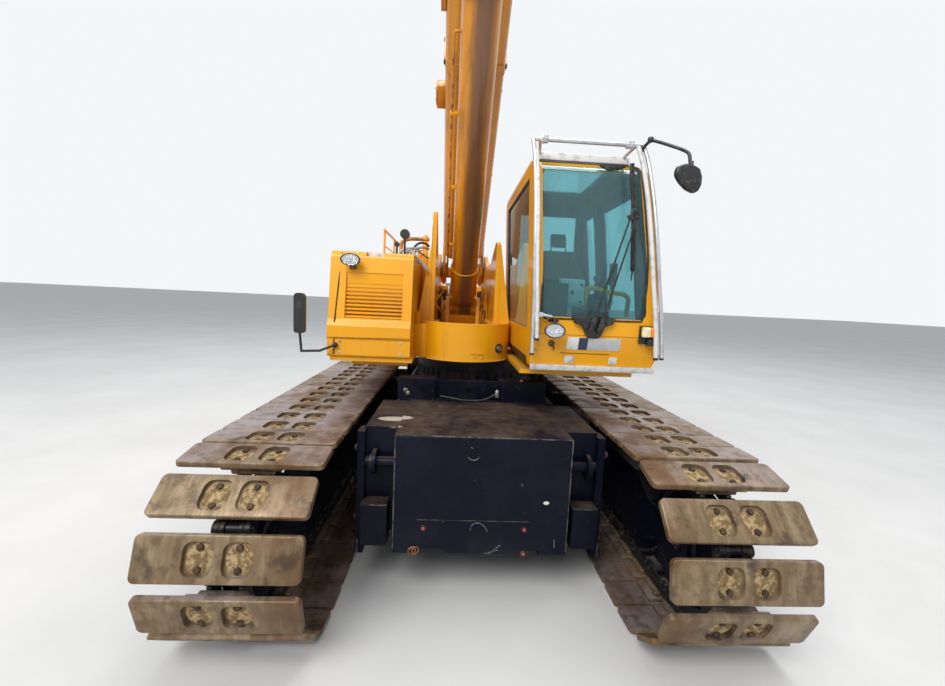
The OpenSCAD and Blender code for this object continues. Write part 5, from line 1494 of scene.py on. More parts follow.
wiper, blade = bmesh.new(), bmesh.new()
front_y = on_front(0.83, 2.07)[0].y
slab(
    wiper,
    [
        (0.662, 2.142), (0.684, 2.095), (0.748, 2.072), (0.785, 1.992), (0.812, 1.976),
        (0.872, 1.978), (0.896, 1.996), (0.925, 2.072), (0.985, 2.095), (1.004, 2.142),
        (0.90, 2.158), (0.76, 2.156)
    ],
    front_y - 0.046, front_y + 0.010, "y", 0.008, 3
)
for x in (0.800, 0.868):
    round_bar(wiper, (x, front_y - 0.040, 2.042), (x, front_y - 0.082, 2.042), 0.020, 20, 0.004)
    round_bar(wiper, (x, front_y - 0.080, 2.042), (x, front_y - 0.090, 2.042), 0.011, 6, 0.002)
for x, z in ((0.735, 2.10), (0.934, 2.10), (0.834, 1.995)):
    bolt_head(wiper, (x, front_y - 0.046, z), (0, -1, 0), 0.009, 0.006, False)
arm([(0.800, front_y - 0.064, 2.030), (0.838, front_y - 0.070, 2.180)], 0.036, 0.024)
arm([(0.868, front_y - 0.064, 2.030), (0.905, front_y - 0.070, 2.180)], 0.036, 0.024)
arm([(0.836, front_y - 0.066, 2.170), (1.040, -1.800, 2.905)], 0.013, 0.007)
arm([(0.903, front_y - 0.066, 2.170), (1.066, -1.800, 2.800)], 0.013, 0.007)
arm([(1.030, -1.800, 2.895), (1.064, -1.802, 2.975), (1.090, -1.796, 2.955)], 0.022, 0.014)
arm([(1.060, -1.800, 2.780), (1.082, -1.800, 2.93)], 0.018, 0.012)
arm([(1.020, -1.805, 2.905), (1.060, -1.805, 2.925)], 0.040, 0.016)
BLADE_LINE = [(1.052, -1.716, 3.325), (1.075, -1.772, 2.960), (1.102, -1.776, 2.520)]
for start, end in zip(BLADE_LINE, BLADE_LINE[1:]):
    place, length = between(start, end)
    block(
        blade, (-0.017, -length / 2 - 0.006, -0.012), (0.017, length / 2 + 0.006, 0.012),
        0.006, 2, place
    )
    block(blade, (-0.005, -length / 2, -0.028), (0.005, length / 2, 0.026), 0.002, 1, place)
for x0, x1, z, y in ((1.045, 1.118, 2.948, -1.786), (1.052, 1.112, 2.905, -1.790)):
    block(blade, (x0, y - 0.012, z - 0.012), (x1, y + 0.014, z + 0.012), 0.004)
round_bar(blade, (1.102, -1.776, 2.530), (1.096, -1.774, 2.440), 0.008, 10, 0.002, 0.004)
parts = as_piece("screen_wiper", wiper, head_black, "cab")
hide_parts("wipers")
as_piece("wiper_blade", blade, rubber, "cab")
visor = bmesh.new()
slab(
    visor,
    [(0.83, 3.325), (0.90, 3.296), (0.985, 3.300), (1.04, 3.325), (1.04, 3.345), (0.83, 3.345)],
    -1.636, -1.612, "y", 0.006
)
as_piece("screen_motor_cover", visor, head_black, "cab")

# Cab mirror: a bent black tube with a knob, and a shield-shaped head whose glass looks back.
mirror_glass, shader = surface("mirror_glass", (0.80, 0.82, 0.84), 0.03, metal=1.0)
steer(
    mirror_glass, shader, "Roughness",
    mixed(mirror_glass, feed(mirror_glass, blotches, Scale=9.0, Low=0.5, High=0.8), 0.02, 0.14)
)
arm_tube = pipe("mirror_arm", [
    (1.136, -1.66, 3.43), (1.150, -1.69, 3.475), (1.170, -1.75, 3.500), (1.240, -1.82, 3.455),
    (1.338, -1.90, 3.392),
    (1.368, -1.955, 3.350), (1.378, -1.968, 3.240),
], 0.0125, head_black, "cab", 0.05, 4)
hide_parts("cab_mirror")
head, back = bmesh.new(), bmesh.new()
outline = [
    (1.262, 3.205), (1.272, 3.246), (1.333, 3.270), (1.395, 3.262), (1.440, 3.240), (1.462, 3.185),
    (1.462, 3.125), (1.440, 3.080), (1.408, 3.068), (1.350, 3.092), (1.300, 3.135), (1.270, 3.175)
]
slab(head, outline, -1.995, -1.945, "y", 0.018, 4)
middle = (sum(x for x, z in outline) / len(outline), sum(z for x, z in outline) / len(outline))
slab(
    back,
    [(middle[0] + (x - middle[0]) * 0.84, middle[1] + (z - middle[1]) * 0.84) for x, z in outline],
    -1.946, -1.943, "y"
)
round_bar(head, (1.378, -1.970, 3.290), (1.378, -1.970, 3.255), 0.017, 16, 0.003)
round_bar(head, (1.370, -1.970, 3.17), (1.370, -1.925, 3.17), 0.022, 16, 0.004)
bmesh.ops.create_icosphere(
    head, subdivisions=3, radius=0.024, matrix=Matrix.Translation((1.168, -1.748, 3.502))
)
as_piece("mirror_head", head, head_black, "cab", 40)
as_piece("mirror_pane", back, mirror_glass, "cab")

# Inside of the cab: grey document box and yellow grab bar by the screen, the display, two
# consoles with levers and the pedals, as seen through the glass.
grey_trim = flecked(
    "pale_trim", (0.60, 0.64, 0.62), (0.42, 0.46, 0.45), 18.0, 0.42, 0.68, 0.6,
    (180.0, 12.0, 0.0006, 0.5)
)
case, heads, display = bmesh.new(), bmesh.new(), bmesh.new()
block(case, (0.628, -1.425, 2.212), (0.852, -1.350, 2.452), 0.018, 4)
block(case, (0.652, -1.432, 2.236), (0.828, -1.424, 2.428), 0.004, 2)
block(case, (0.720, -1.380, 1.780), (0.760, -1.350, 2.230), 0.006)
for x, z in ((0.664, 2.404), (0.816, 2.404), (0.664, 2.262), (0.816, 2.262)):
    round_bar(heads, (x, -1.430, z), (x, -1.438, z), 0.010, 14, 0.002)
round_bar(heads, (0.740, -1.430, 2.340), (0.740, -1.445, 2.340), 0.016, 18, 0.003)
as_piece("document_box", case, grey_trim, "cab")
as_piece("document_box_screws", heads, oily_iron, "cab")
pipe(
    "grab_bar",
    [
        (0.872, -1.36, 2.20), (0.872, -1.395, 2.378), (0.93, -1.40, 2.388), (1.06, -1.40, 2.352),
        (1.20, -1.40, 2.345), (1.255, -1.38, 2.31), (1.26, -1.34, 2.15)
    ],
    0.020, yellow, "cab", 0.05, 5
)
block(display, (1.13, -1.22, 2.42), (1.20, -1.19, 2.62), 0.008, 2)
block(display, (1.155, -1.19, 2.20), (1.175, -1.17, 2.44), 0.004)
for x in (0.60, 1.16):
    block(display, (x - 0.07, -1.02, 2.12), (x + 0.07, -0.56, 2.19), 0.015, 3)
    round_bar(display, (x, -0.93, 2.18), (x, -0.95, 2.30), 0.012, 14, 0.002)
    bmesh.ops.create_uvsphere(
        display, u_segments=20, v_segments=12, radius=0.028,
        matrix=Matrix.Translation((x, -0.953, 2.325)) @ Matrix.Diagonal((1, 1, 1.35, 1))
    )
for x in (0.80, 0.94):
    block(display, (x - 0.045, -1.40, 1.80), (x + 0.045, -1.28, 1.815), 0.004, 1)
as_piece("cab_controls", display, head_black, "cab")

# Cab shell: yellow steel outside and dark grey-blue moulded trim inside; the finish tells the two
# sides apart by whether a face looks towards the cab's middle.
lining, given, gives = new_group(
    "lining", [(VECTOR, "Centre", (0.88, -0.72, 2.60))], [(FLOAT, "Mask")]
)
where = lining.nodes.new("ShaderNodeTexCoord")
inward = lining.nodes.new("ShaderNodeVectorMath")
inward.operation = "SUBTRACT"
facing = lining.nodes.new("ShaderNodeVectorMath")
facing.operation = "DOT_PRODUCT"
side = lining.nodes.new("ShaderNodeMapRange")
side.inputs["From Min"].default_value = 0.06
side.inputs["From Max"].default_value = 0.10
for source, target in (
    (given.outputs["Centre"], inward.inputs[0]),
    (where.outputs["Object"], inward.inputs[1]),
    (inward.outputs[0], facing.inputs[0]),
    (where.outputs["Normal"], facing.inputs[1]),
    (facing.outputs["Value"], side.inputs["Value"]),
    (side.outputs[0], gives.inputs["Mask"]),
):
    lining.links.new(source, target)
cab_shell, shader = surface("cab_shell", YELLOW, 0.32, coat=0.18, specular=0.35)
inside = feed(cab_shell, lining)
faded = feed(cab_shell, blotches, Scale=1.1, Low=0.35, High=0.70)
streak = feed(cab_shell, blotches, Scale=9.0, Low=0.56, High=0.72, Stretch=(1.0, 1.0, 0.16))
dust = feed(cab_shell, dust_and_sheen, Low=0.60, High=0.98, Scale=3.0)
trim = feed(cab_shell, blotches, Scale=12.0, Low=0.4, High=0.7)
painted(cab_shell, shader, faded, YELLOW, (0.78, 0.34, 0.008), [
    (streak, 0.3, (0.42, 0.20, 0.03)),
    (dust, 0.45, (0.40, 0.27, 0.12)),
    (inside, 1, mixed(cab_shell, trim, (0.060, 0.075, 0.085), (0.10, 0.12, 0.13))),
])
steer(
    cab_shell, shader, "Roughness",
    mixed(cab_shell, inside, mixed(cab_shell, streak, 0.30, 0.45), 0.75)
)
bumped(cab_shell, shader, feed(cab_shell, grain, Scale=90.0, Wave=2.2), 0.0016, 0.35)
for node in (
    "cab_front", "cab_left_wall", "cab_right_wall", "cab_rear_wall", "cab_roof", "cab_door"
):
    dress(node, cab_shell)

# Roof edge over the windscreen: a pale weather strip over a dark rubber lip, held by four bolted
# straps on the front of the roof.
strip, lip = bmesh.new(), bmesh.new()
slab(
    strip, [(-1.478, 3.398), (-1.440, 3.398), (-1.360, 3.446), (-1.400, 3.472), (-1.466, 3.462)],
    0.378, 1.128, "x", 0.006, 3
)
slab(
    lip, [(-1.500, 3.362), (-1.470, 3.362), (-1.452, 3.399), (-1.478, 3.399)], 0.388,
    1.122, "x", 0.004
)
for x in (0.45, 0.66, 0.87, 1.06):
    at = landed("cab_roof", (x, -1.265, 5.0), (0, 0, -1))[0]
    slab(
        strip, [(-1.42, 3.455), (-1.25, at.z + 0.001), (-1.25, at.z + 0.012), (-1.42, 3.468)],
        x - 0.022, x + 0.022, "x", 0.002
    )
    bolt_head(lip, (x, -1.265, at.z + 0.010), (0, 0, 1), 0.010, 0.008)
as_piece("weather_strip", strip, white_paint, "cab")
as_piece("weather_lip", lip, rubber, "cab")

# Cab seat: foam cushion, back and headrest in dark ribbed cloth, blown up by a cloth
# simulation, with piped seams and two sewn channels, on a steel pedestal with a bellows.
cloth = flecked(
    "seat_cloth", (0.026, 0.030, 0.036), (0.060, 0.062, 0.066), 7.0, 0.42, 0.68, 0.9,
    (420.0, 150.0, 0.002, 0.9)
)
seat_seam = flecked("seat_piping", (0.018, 0.018, 0.020), (0.05, 0.05, 0.052), 90.0, 0.4, 0.6, 0.7)


PAD_VOXEL, AIR_FRAMES = 0.009, 20


def stuffed(name, shape, swell):
    """A pad blown up from a slightly smaller shape; no point moves further than swell."""
    mesh = bpy.data.meshes.new(name)
    shape.to_mesh(mesh)
    shape.free()
    pad = bpy.data.objects.new(name, mesh)
    bpy.context.scene.collection.objects.link(pad)
    even = pad.modifiers.new("even", "REMESH")
    even.mode, even.voxel_size = "VOXEL", PAD_VOXEL
    calm = bpy.data.meshes.new_from_object(pad.evaluated_get(bpy.context.evaluated_depsgraph_get()))
    pad.modifiers.clear()
    pad.data = calm
    before = [point.co.copy() for point in calm.vertices]
    air = pad.modifiers.new("air", "CLOTH")
    air.settings.use_pressure = True
    air.settings.uniform_pressure_force = 4.0
    air.settings.effector_weights.gravity = 0
    air.point_cache.frame_start, air.point_cache.frame_end = 1, AIR_FRAMES
    for moment in range(1, AIR_FRAMES + 1):
        bpy.context.scene.frame_set(moment)
    blown = bpy.data.meshes.new_from_object(
        pad.evaluated_get(bpy.context.evaluated_depsgraph_get())
    )
    pad.modifiers.clear()
    pad.data = blown
    for point, was in zip(blown.vertices, before):
        moved = point.co - was
        if moved.length > swell:
            point.co = was + moved * (swell / moved.length)
    bpy.context.scene.frame_set(1)
    finer = pad.modifiers.new("finer", "SUBSURF")
    finer.levels = finer.render_levels = 1
    smooth = bpy.data.meshes.new_from_object(
        pad.evaluated_get(bpy.context.evaluated_depsgraph_get())
    )
    pad.modifiers.clear()
    pad.data = smooth
    smooth.materials.clear()
    smooth.materials.append(cloth)
    smooth.shade_smooth()
    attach(pad, "cab")
    return pad


shape = bmesh.new()
slab(
    shape, [(-1.00, 2.10), (-0.985, 2.175), (-0.93, 2.205), (-0.53, 2.195), (-0.505, 2.10)], 0.635,
    1.055, "x", 0.03, 3
)
cushion = stuffed("seat_cushion", shape, 0.016)
shape = bmesh.new()
slab(
    shape, [(-0.610, 2.20), (-0.520, 2.20), (-0.375, 2.80), (-0.430, 2.815), (-0.470, 2.78)], 0.665,
    1.025, "x", 0.03, 3
)
backrest = stuffed("seat_back", shape, 0.016)
shape = bmesh.new()
slab(
    shape, [(-0.415, 2.845), (-0.345, 2.835), (-0.305, 2.975), (-0.370, 2.99)], 0.762, 0.928,
    "x", 0.02, 3
)
stuffed("seat_headrest", shape, 0.010)
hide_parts("seat")
piping, pedestal = bmesh.new(), bmesh.new()
for pad, centre, across_1, across_2, count in (
    (cushion, (0.845, -0.755, 2.150), (1, 0, 0), (0, 1, 0), 48),
    (backrest, (0.845, -0.475, 2.50), (1, 0, 0), (0, 0.23, 0.97), 52),
):
    line = []
    for i in range(count + 1):
        t = math.tau * i / count
        ray = (Vector(across_1) * math.cos(t) + Vector(across_2) * math.sin(t)).normalized()
        hit, at, away, _ = pad.ray_cast(Vector(centre) + ray * 0.8, -ray)
        if hit:
            line.append(at + ray * 0.0005)
    bead(piping, line, 0.0045, 6)
for x in (0.745, 0.945):
    line = []
    for i in range(14):
        start = Vector((x, -0.97 + i * 0.031, 2.5))
        hit, at, away, _ = cushion.ray_cast(start, Vector((0, 0, -1)))
        if hit:
            line.append(at + away * 0.0005)
    bead(piping, line, 0.003, 6)
    line = []
    for i in range(16):
        start = Vector((x, -1.5, 2.26 + i * 0.034))
        hit, at, away, _ = backrest.ray_cast(start, Vector((0, 1, 0)))
        if hit:
            line.append(at + away * 0.0005)
    bead(piping, line, 0.003, 6)
    round_bar(
        pedestal, (x + (0.02 if x < 0.8 else -0.02), -0.40, 2.78),
        (x + (0.02 if x < 0.8 else -0.02), -0.365, 2.88), 0.007, 12
    )
block(pedestal, (0.665, -0.96, 2.075), (1.025, -0.50, 2.102), 0.008)
for i in range(6):
    block(
        pedestal, (0.705 - 0.012 * (i % 2), -0.88 - 0.012 * (i % 2), 1.83 + i * 0.040),
        (0.985 + 0.012 * (i % 2), -0.54 + 0.012 * (i % 2), 1.872 + i * 0.040), 0.010
    )
block(pedestal, (0.685, -0.90, 1.787), (1.005, -0.52, 1.835), 0.006)
block(pedestal, (0.72, -0.52, 2.10), (0.97, -0.492, 2.24), 0.008)
for x in (0.632, 1.058):
    block(pedestal, (x - 0.022, -0.90, 2.275), (x + 0.022, -0.52, 2.312), 0.010, 3)
    round_bar(
        pedestal, (x, -0.54, 2.29), (x + (0.03 if x < 0.8 else -0.03), -0.50, 2.24),
        0.014, 14, 0.003
    )
as_piece("seat_piping", piping, seat_seam, "cab")
as_piece("seat_pedestal", pedestal, head_black, "cab")

# Turntable's front: bright plates folded between the nose and the side housing, a pressed rim on
# the nose, and the cross web; dark sheets on the web beside the luffing cylinder are painted shade
# in its openings.
# The third shape holds dark sheets that are painted shade in the openings beside the cylinder.
web, folds, painted_shade_sheets = bmesh.new(), bmesh.new(), bmesh.new()
slab(
    web,
    [
        (-0.475, 1.71), (-0.475, 2.40), (-0.345, 2.40), (-0.345, 2.14), (0.045, 2.14),
        (0.045, 2.40), (0.175, 2.40), (0.175, 1.71)
    ],
    0.985, 1.006, "y", 0.004
)
for x0, x1 in ((-0.470, -0.385), (0.085, 0.170)):
    slab(
        web, [(x0, 1.72), (x1, 1.72), (x1, 2.16), ((x0 + x1) / 2, 2.30), (x0, 2.30)], 0.42,
        0.434, "y", 0.003
    )
    block(painted_shade_sheets, (x0 + 0.018, 0.4165, 1.92), (x1 - 0.018, 0.4195, 2.10), 0.001, 1)
slab(painted_shade_sheets, [(-0.455, 2.08), (-0.360, 2.08), (-0.360, 2.34), (-0.455, 2.36)], 0.9795, 0.9845, "y")
slab(painted_shade_sheets, [(0.060, 2.08), (0.155, 2.08), (0.155, 2.36), (0.060, 2.34)], 0.9795, 0.9845, "y")
rim_line = []
for a in range(-176, -3, 4):
    t = math.radians(a)
    rim_line.append(
        (
            NOSE_X + (NOSE_R - 0.010) * math.cos(t), NOSE_Y + (NOSE_R - 0.010) * math.sin(t),
            DECK + 0.3745
        )
    )
bead(web, rim_line, 0.008, 6)
slab(
    folds,
    [
        (-0.700, -0.62), (-0.672, -0.70), (-0.560, -0.74), (-0.520, -0.72), (-0.640, -0.50),
        (-0.680, -0.50)
    ],
    DECK + 0.012, DECK + 0.352, "z", 0.006
)
slab(
    folds, [(-0.655, -0.66), (-0.600, -0.70), (-0.640, -0.50), (-0.652, -0.50)], DECK + 0.35,
    DECK + 0.47, "z", 0.004
)
slab(
    folds,
    [
        (-0.652, 1.97), (-0.567, 1.97), (-0.567, 2.20), (-0.592, 2.93), (-0.612, 2.955),
        (-0.640, 2.955), (-0.652, 2.93)
    ],
    0.010, 0.045, "y", 0.006
)
slab(
    folds, [(0.045, 1.97), (0.62, 1.97), (0.62, 2.50), (0.50, 2.74), (0.045, 2.74)], -0.640,
    -0.625, "x", 0.005
)
slab(folds, [(-0.66, 1.90), (-0.515, 1.90), (-0.515, 2.02), (-0.66, 2.02)], 0.015, 0.30, "y", 0.004)
as_piece("cross_web", web, yellow, "upper")
as_piece("nose_folds", folds, yellow, "upper")
as_piece("web_painted_shade", painted_shade_sheets, seam_dark, "upper")

# Engine hood: doors pressed from sheet with dark joints, T latches and hinges, four lifting eyes
# and a row of cooling slots on the roof, and a rain cap with two bands on the exhaust.
hood_seams, hood_fit, hood_dark = bmesh.new(), bmesh.new(), bmesh.new()
side_x = landed("engine_hood", (-3.0, 1.8, 2.0), (1, 0, 0))[0].x
HOOD_DOORS = (0.90, 1.75, 2.62)
for y in HOOD_DOORS:
    at = landed("engine_hood", (-3.0, y, 2.45), (1, 0, 0))[0]
    bead(hood_seams, [(at.x - 0.0015, y, 1.75), (at.x - 0.0015, y, 2.60)], 0.004, 6)
for z in (1.76, 2.60):
    bead(hood_seams, [(side_x - 0.0015, y, z) for y in (HOOD_DOORS[0], HOOD_DOORS[-1])], 0.004, 6)
for y in (1.20, 2.05):
    for z in (1.90, 2.50):
        at, out = landed("engine_hood", (-3.0, y - 0.24, z), (1, 0, 0))
        place = seat_on(at, out)
        block(hood_fit, (-0.032, -0.018, -0.002), (0.032, 0.018, 0.008), 0.004, 2, place)
        round_bar(
            hood_fit, place @ Vector((0, 0, 0.006)), place @ Vector((0, 0, 0.020)), 0.014, 18, 0.003
        )
        block(hood_fit, (-0.028, -0.006, 0.018), (0.028, 0.006, 0.028), 0.003, 2, place)
for y in (0.98, 1.66, 1.84, 2.54):
    for z in (1.86, 2.48):
        at, out = landed("engine_hood", (-3.0, y, z), (1, 0, 0))
        block(hood_fit, (-0.016, -0.035, -0.002), (0.016, 0.035, 0.007), 0.002, 2, seat_on(at, out))
        round_bar(
            hood_fit, at + Vector((-0.009, 0, -0.035)), at + Vector((-0.009, 0, 0.035)),
            0.007, 12, 0.001
        )
for x in (-1.20, -0.86):
    for y in (1.05, 2.25):
        at, out = landed("engine_hood", (x, y, 4.0), (0, 0, -1))
        block(
            hood_fit, (x - 0.045, y - 0.030, at.z - 0.002), (x + 0.045, y + 0.030, at.z + 0.006),
            0.003, 2
        )
        ring(hood_fit, 0.026, 0.0075, seat_on((x, y, at.z + 0.026), (1, 0, 0)), 24, 8)
for i in range(14):
    y = 1.24 + i * 0.058
    at = landed("engine_hood", (-1.03, y, 4.0), (0, 0, -1))[0]
    block(hood_dark, (-1.19, y - 0.010, at.z - 0.001), (-0.87, y + 0.010, at.z + 0.002), 0.001, 1)
STACK_X, STACK_Y = -0.8753, 2.66
top = landed("engine_hood", (STACK_X, STACK_Y, 4.0), (0, 0, -1))[0]
stack = bmesh.new()
for tube, below in ((0.006, 0.010), (0.004, 0.070)):
    ring(stack, 0.0640, tube, seat_on((STACK_X, STACK_Y, top.z - below), (0, 0, 1)), 40, 8)
slab(
    stack,
    [
        (-0.945, top.z + 0.004), (-0.812, top.z + 0.062), (-0.808, top.z + 0.056),
        (-0.940, top.z - 0.002)
    ],
    2.595, 2.725, "y", 0.002
)
round_bar(stack, (-0.945, 2.61, top.z + 0.002), (-0.945, 2.71, top.z + 0.002), 0.008, 14, 0.002)
as_piece("hood_seams", hood_seams, seam_dark, "upper")
as_piece("hood_fittings", hood_fit, head_black, "upper")
as_piece("cooling_slots", hood_dark, seam_dark, "upper")
as_piece("exhaust_cap", stack, oily_iron, "upper")

# Tank hood behind the cab: two filler caps with bars, door seams with pulls, and grip strips
# along both sides of its roof.
caps, seams, strips = bmesh.new(), bmesh.new(), bmesh.new()
tank_x = landed("tank_hood", (3.0, 1.8, 2.0), (-1, 0, 0))[0].x
TANK_DOORS, TANK_SILL, TANK_HEAD = (1.30, 2.10, 2.86), 1.74, 2.28
for y in TANK_DOORS:
    bead(seams, [(tank_x + 0.0015, y, z) for z in (TANK_SILL, TANK_HEAD)], 0.004, 6)
for z in (TANK_SILL, TANK_HEAD):
    bead(seams, [(tank_x + 0.0015, y, z) for y in (TANK_DOORS[0], TANK_DOORS[-1])], 0.004, 6)
for y in (1.40, 2.20):
    at, out = landed("tank_hood", (3.0, y, 2.05), (-1, 0, 0))
    place = seat_on(at, out)
    block(caps, (-0.035, -0.050, -0.002), (0.035, 0.050, 0.007), 0.004, 2, place)
    block(caps, (-0.010, -0.040, 0.006), (0.010, 0.040, 0.020), 0.004, 2, place)
for x, y in ((0.62, 1.10), (1.05, 1.10)):
    at, out = landed("tank_hood", (x, y, 4.0), (0, 0, -1))
    round_bar(caps, (x, y, at.z - 0.002), (x, y, at.z + 0.018), 0.062, 32, 0.003)
    round_bar(caps, (x, y, at.z + 0.016), (x, y, at.z + 0.050), 0.048, 24, 0.008)
    block(caps, (x - 0.042, y - 0.008, at.z + 0.046), (x + 0.042, y + 0.008, at.z + 0.060), 0.004)
for i in range(10):
    y = 1.42 + i * 0.15
    for x in (0.52, 1.20):
        at = landed("tank_hood", (x, y, 4.0), (0, 0, -1))[0]
        block(
            strips, (x - 0.10, y - 0.020, at.z - 0.001), (x + 0.10, y + 0.020, at.z + 0.0035),
            0.001, 1
        )
grit = flecked(
    "grip_strip", (0.022, 0.022, 0.023), (0.085, 0.075, 0.062), 60.0, 0.45, 0.62, 0.85,
    (900.0, 300.0, 0.002, 1.0)
)
as_piece("tank_caps", caps, head_black, "upper")
as_piece("tank_seams", seams, seam_dark, "upper")
as_piece("grip_strips", strips, grit, "upper")

# Counterweight fittings: two lifting lugs with rings on top, locking pins at the sides, and round
# tail lamps and bolt heads on the back.
lugs, lamps_red, lamp_rims = bmesh.new(), bmesh.new(), bmesh.new()
for x in (-1.15, 1.15):
    at, out = landed("counterweight", (x, 3.28, 5.0), (0, 0, -1))
    slab(
        lugs,
        [
            (3.20, at.z - 0.004), (3.36, at.z - 0.004), (3.34, at.z + 0.075), (3.28, at.z + 0.105),
            (3.22, at.z + 0.075)
        ],
        x - 0.018, x + 0.018, "x", 0.006
    )
    ring(lugs, 0.030, 0.008, seat_on((x, 3.28, at.z + 0.055), (1, 0, 0)), 28, 8)
    block(lugs, (x - 0.05, 3.17, at.z - 0.004), (x + 0.05, 3.39, at.z + 0.008), 0.004)
for side in (-1, 1):
    for z in (1.56, 1.95, 2.35):
        at, out = landed("counterweight", (side * 3.0, 3.28, z), (-side, 0, 0))
        round_bar(lugs, at - out * 0.004, at + out * 0.014, 0.042, 28, 0.004)
        round_bar(lugs, at + out * 0.010, at + out * 0.030, 0.022, 6, 0.004)
    at, out = landed("counterweight", (side * 0.98, 8.0, 1.78), (0, -1, 0))
    for radius, depth, shape in ((0.062, 0.010, lamp_rims), (0.050, 0.022, lamps_red)):
        round_bar(shape, at - out * 0.004, at + out * depth, radius, 36, 0.004)
    round_bar(lamps_red, at + out * 0.020, at + out * 0.026, 0.030, 28, 0.003)
    for i in range(3):
        spot_at, spot_out = landed(
            "counterweight", (side * (0.60 + i * 0.06), 8.0, 1.50), (0, -1, 0)
        )
        bolt_head(lugs, spot_at, spot_out, 0.014, 0.010)
tail_red = flecked(
    "tail_lens", (0.46, 0.012, 0.014), (0.26, 0.008, 0.010), 30.0, 0.4, 0.7, 0.12,
    (60.0, 90.0, 0.002, 0.8), coat=0.5
)
as_piece("counterweight_lugs", lugs, yellow, "upper")
as_piece("tail_lamp_rims", lamp_rims, head_black, "upper")
as_piece("tail_lenses", lamps_red, tail_red, "upper")

# Hoist winch: a hydraulic motor and a bearing cap bolted on the side plates, and wire rope wound
# in even turns on the drum.
motor = bmesh.new()
DRUM_Y, DRUM_Z, DRUM_HALF, CHEEK_OUT = 2.80, 2.255, 0.268, 0.341
MOTOR = Vector((NOSE_X + CHEEK_OUT, DRUM_Y, DRUM_Z))
round_bar(motor, MOTOR, MOTOR + Vector((0.022, 0, 0)), 0.140, 40, 0.005)
round_bar(motor, MOTOR + Vector((0.020, 0, 0)), MOTOR + Vector((0.060, 0, 0)), 0.105, 36, 0.008)
bolt_circle(motor, MOTOR + Vector((0.022, 0, 0)), 0.122, 12, 1, 0.010, 0.009)
bolt_circle(motor, MOTOR + Vector((0.058, 0, 0)), 0.075, 8, 1, 0.008, 0.008)
cap = Vector((NOSE_X - CHEEK_OUT, DRUM_Y, DRUM_Z))
round_bar(motor, cap, cap - Vector((0.018, 0, 0)), 0.120, 40, 0.005)
bolt_circle(motor, cap - Vector((0.018, 0, 0)), 0.095, 8, -1, 0.011, 0.010, 0.2)
as_piece("winch_motor", motor, oily_iron, "upper")
rope = bmesh.new()
ROPE_TURNS, TURN_STEPS, ROPE_R, WOUND_R = 17, 24, 0.0115, 0.2405
line = []
for i in range(ROPE_TURNS * TURN_STEPS + 1):
    t = math.tau * i / TURN_STEPS
    x = NOSE_X - DRUM_HALF + 2 * DRUM_HALF * i / (ROPE_TURNS * TURN_STEPS)
    line.append((x, DRUM_Y + WOUND_R * math.cos(t), DRUM_Z + WOUND_R * math.sin(t)))
bead(rope, line, ROPE_R, 6)
wire = flecked(
    "wire_rope", (0.19, 0.175, 0.155), (0.045, 0.040, 0.034), 120.0, 0.40, 0.60, 0.45,
    (260.0, 160.0, 0.003, 1.0), metal=0.7
)
as_piece("drum_rope", rope, wire, "winch_drum")

# Boom base: a bracket with its bolted plate on the left side, wear-pad screws round its collars,
# weld seams along its edges and a hydraulic line in clamps along its right side.
BOOM_FOOT, BOOM_TURN = Vector((NOSE_X, 1.65, 2.625)), math.radians(40)
BOOM_ALONG = Vector((0, -math.cos(BOOM_TURN), math.sin(BOOM_TURN)))
BOOM_OUT = Vector((0, math.sin(BOOM_TURN), math.cos(BOOM_TURN)))
BOOM_FRAME = Matrix.Translation(BOOM_FOOT) @ Matrix(
    (Vector((1, 0, 0)), BOOM_ALONG, BOOM_OUT)
).transposed().to_4x4()


def by_boom(x, s, n):
    """A point x beside, s along and n above the line through the boom's pivot."""
    return BOOM_FRAME @ Vector((x, s, n))


bracket, screws, welds = bmesh.new(), bmesh.new(), bmesh.new()
block(bracket, (-0.392, 2.40, 0.20), (-0.296, 2.64, 0.34), 0.008, 2, BOOM_FRAME)
block(bracket, (-0.400, 2.44, 0.195), (-0.384, 2.60, 0.345), 0.003, 2, BOOM_FRAME)
for s in (2.46, 2.58):
    bolt_head(screws, by_boom(-0.399, s, 0.27), (-1, 0, 0), 0.012, 0.010)
for s, out in ((9.80, 0.0), (9.93, 0.0), (2.95, 0.0)):
    for side in (-1, 1):
        for n in (0.02, 0.52):
            at, away = landed("boom_base", by_boom(side * 1.5, s, n), (-side, 0, 0))
            bolt_head(screws, at, away, 0.022, 0.014)
    for x in (-0.16, 0.16):
        at, away = landed("boom_base", by_boom(x, s, 2.0), -BOOM_OUT)
        bolt_head(screws, at, away, 0.022, 0.014)
BOOM_SIDE = 0.31
for side in (-1, 1):
    for n in (0.655, -0.02):
        line = []
        for s in [0.6 + 0.3 * i for i in range(31)]:
            start = by_boom(side * 1.0, s, n - 0.02 if n > 0 else n + 0.02)
            hit, at, away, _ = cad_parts["boom_base"].ray_cast(start, Vector((-side, 0, 0)))
            if hit and abs(at.x - BOOM_FOOT.x) < BOOM_SIDE:
                line.append(at + away * 0.0005)
        if len(line) > 3:
            bead(welds, line, 0.0035, 5)
as_piece("boom_bracket", bracket, boom_yellow, "boom")
as_piece("boom_screws", screws, oily_iron, "boom")
as_piece("boom_welds", welds, boom_yellow, "boom")
line, clamp = [], bmesh.new()
for i in range(24):
    s = 1.05 + i * 0.36
    hit, at, away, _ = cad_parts["boom_base"].ray_cast(
        by_boom(1.2, s, 0.50), Vector((-1, 0, 0))
    )
    if hit:
        line.append(at + away * 0.020)
        if i % 3 == 1:
            block(
                clamp, (-0.022, -0.020, -0.004), (0.022, 0.020, 0.034), 0.004, 2, seat_on(at, away)
            )
            bolt_head(clamp, at + away * 0.034, away, 0.008, 0.006)
pipe("boom_line", line, 0.011, worn_yellow, "boom", 0.04, 4)
as_piece("boom_clamps", clamp, boom_yellow, "boom")

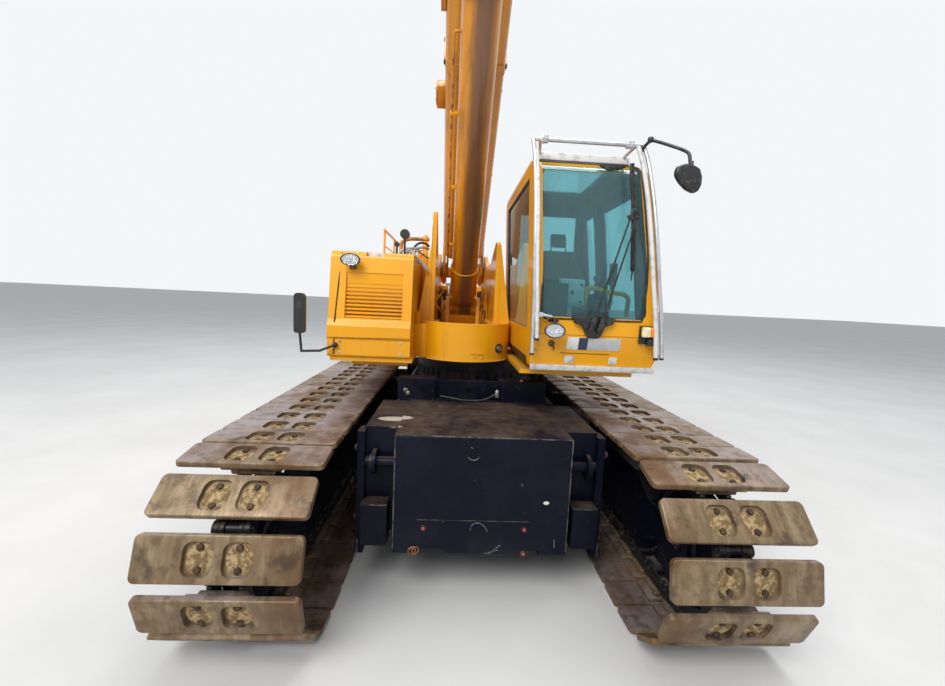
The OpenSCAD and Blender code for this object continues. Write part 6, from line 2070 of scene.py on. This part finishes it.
# Telescopic sections: screws at each collar, on both sides and on top, that hold the wear pads
# inside.
COLLAR_AT, COLLAR_STEP = 9.96, 0.17
for number in range(1, 6):
    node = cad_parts[f"tele_{number}"]
    reach = max(
        (Vector(corner) - BOOM_FOOT).dot(BOOM_ALONG)
        for corner in [node.matrix_world @ Vector(c) for c in node.bound_box]
    )
    pads = bmesh.new()
    s = min(reach - 0.02, COLLAR_AT + COLLAR_STEP * number) - 0.035
    for side in (-1, 1):
        start = by_boom(side * 1.2, s, 0.27)
        hit, at, away, _ = node.ray_cast(start, Vector((-side, 0, 0)))
        if hit:
            for step in (0, 0.10, -0.10):
                bolt_head(pads, at + BOOM_OUT * step, away, 0.014, 0.010)
    hit, at, away, _ = node.ray_cast(by_boom(0.0, s, 1.6), -BOOM_OUT)
    if hit:
        for step in (0.08, -0.08):
            bolt_head(pads, at + Vector((step, 0, 0)), away, 0.014, 0.010)
    if len(pads.verts):
        as_piece(f"pad_screws_{number}", pads, oily_iron, f"section_{number}")
    else:
        pads.free()

# Boom head and hook block: bolted keepers and rings at the ends of the sheaves' pin, and screws
# and a pin cap on the block's cheeks.
keepers = bmesh.new()
HEAD = by_boom(0, 11.33, -0.33)
for side in (-1, 1):
    hit, at, away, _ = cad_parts["tele_5"].ray_cast(
        HEAD + Vector((side * 1.5, 0, 0)), Vector((-side, 0, 0))
    )
    if hit:
        block(
            keepers, (-0.075, -0.018, -0.002), (0.075, 0.018, 0.012), 0.003, 2,
            seat_on(at + Vector((0, 0, 0.075)), away)
        )
        for y in (-0.055, 0.055):
            bolt_head(keepers, at + Vector((0, y, 0.075)) + away * 0.010, away, 0.013, 0.010)
        ring(keepers, 0.050, 0.006, seat_on(at, away), 28, 8)
as_piece("head_keepers", keepers, oily_iron, "section_5")
block_low, block_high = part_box("hook_block")
middle = (Vector(block_low) + Vector(block_high)) / 2
details = bmesh.new()
for side in (-1, 1):
    for dy, dz in ((-0.07, 0.05), (0.07, 0.05), (0.0, -0.08), (0.0, 0.10)):
        hit, at, away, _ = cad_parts["hook_block"].ray_cast(
            middle + Vector((side, dy, dz)), Vector((-side, 0, 0))
        )
        if hit:
            bolt_head(details, at, away, 0.016, 0.012)
    hit, at, away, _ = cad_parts["hook_block"].ray_cast(
        middle + Vector((side, 0, 0)), Vector((-side, 0, 0))
    )
    if hit:
        round_bar(details, at, at + away * 0.012, 0.045, 28, 0.004)
as_piece("hook_block_screws", details, oily_iron, "block")
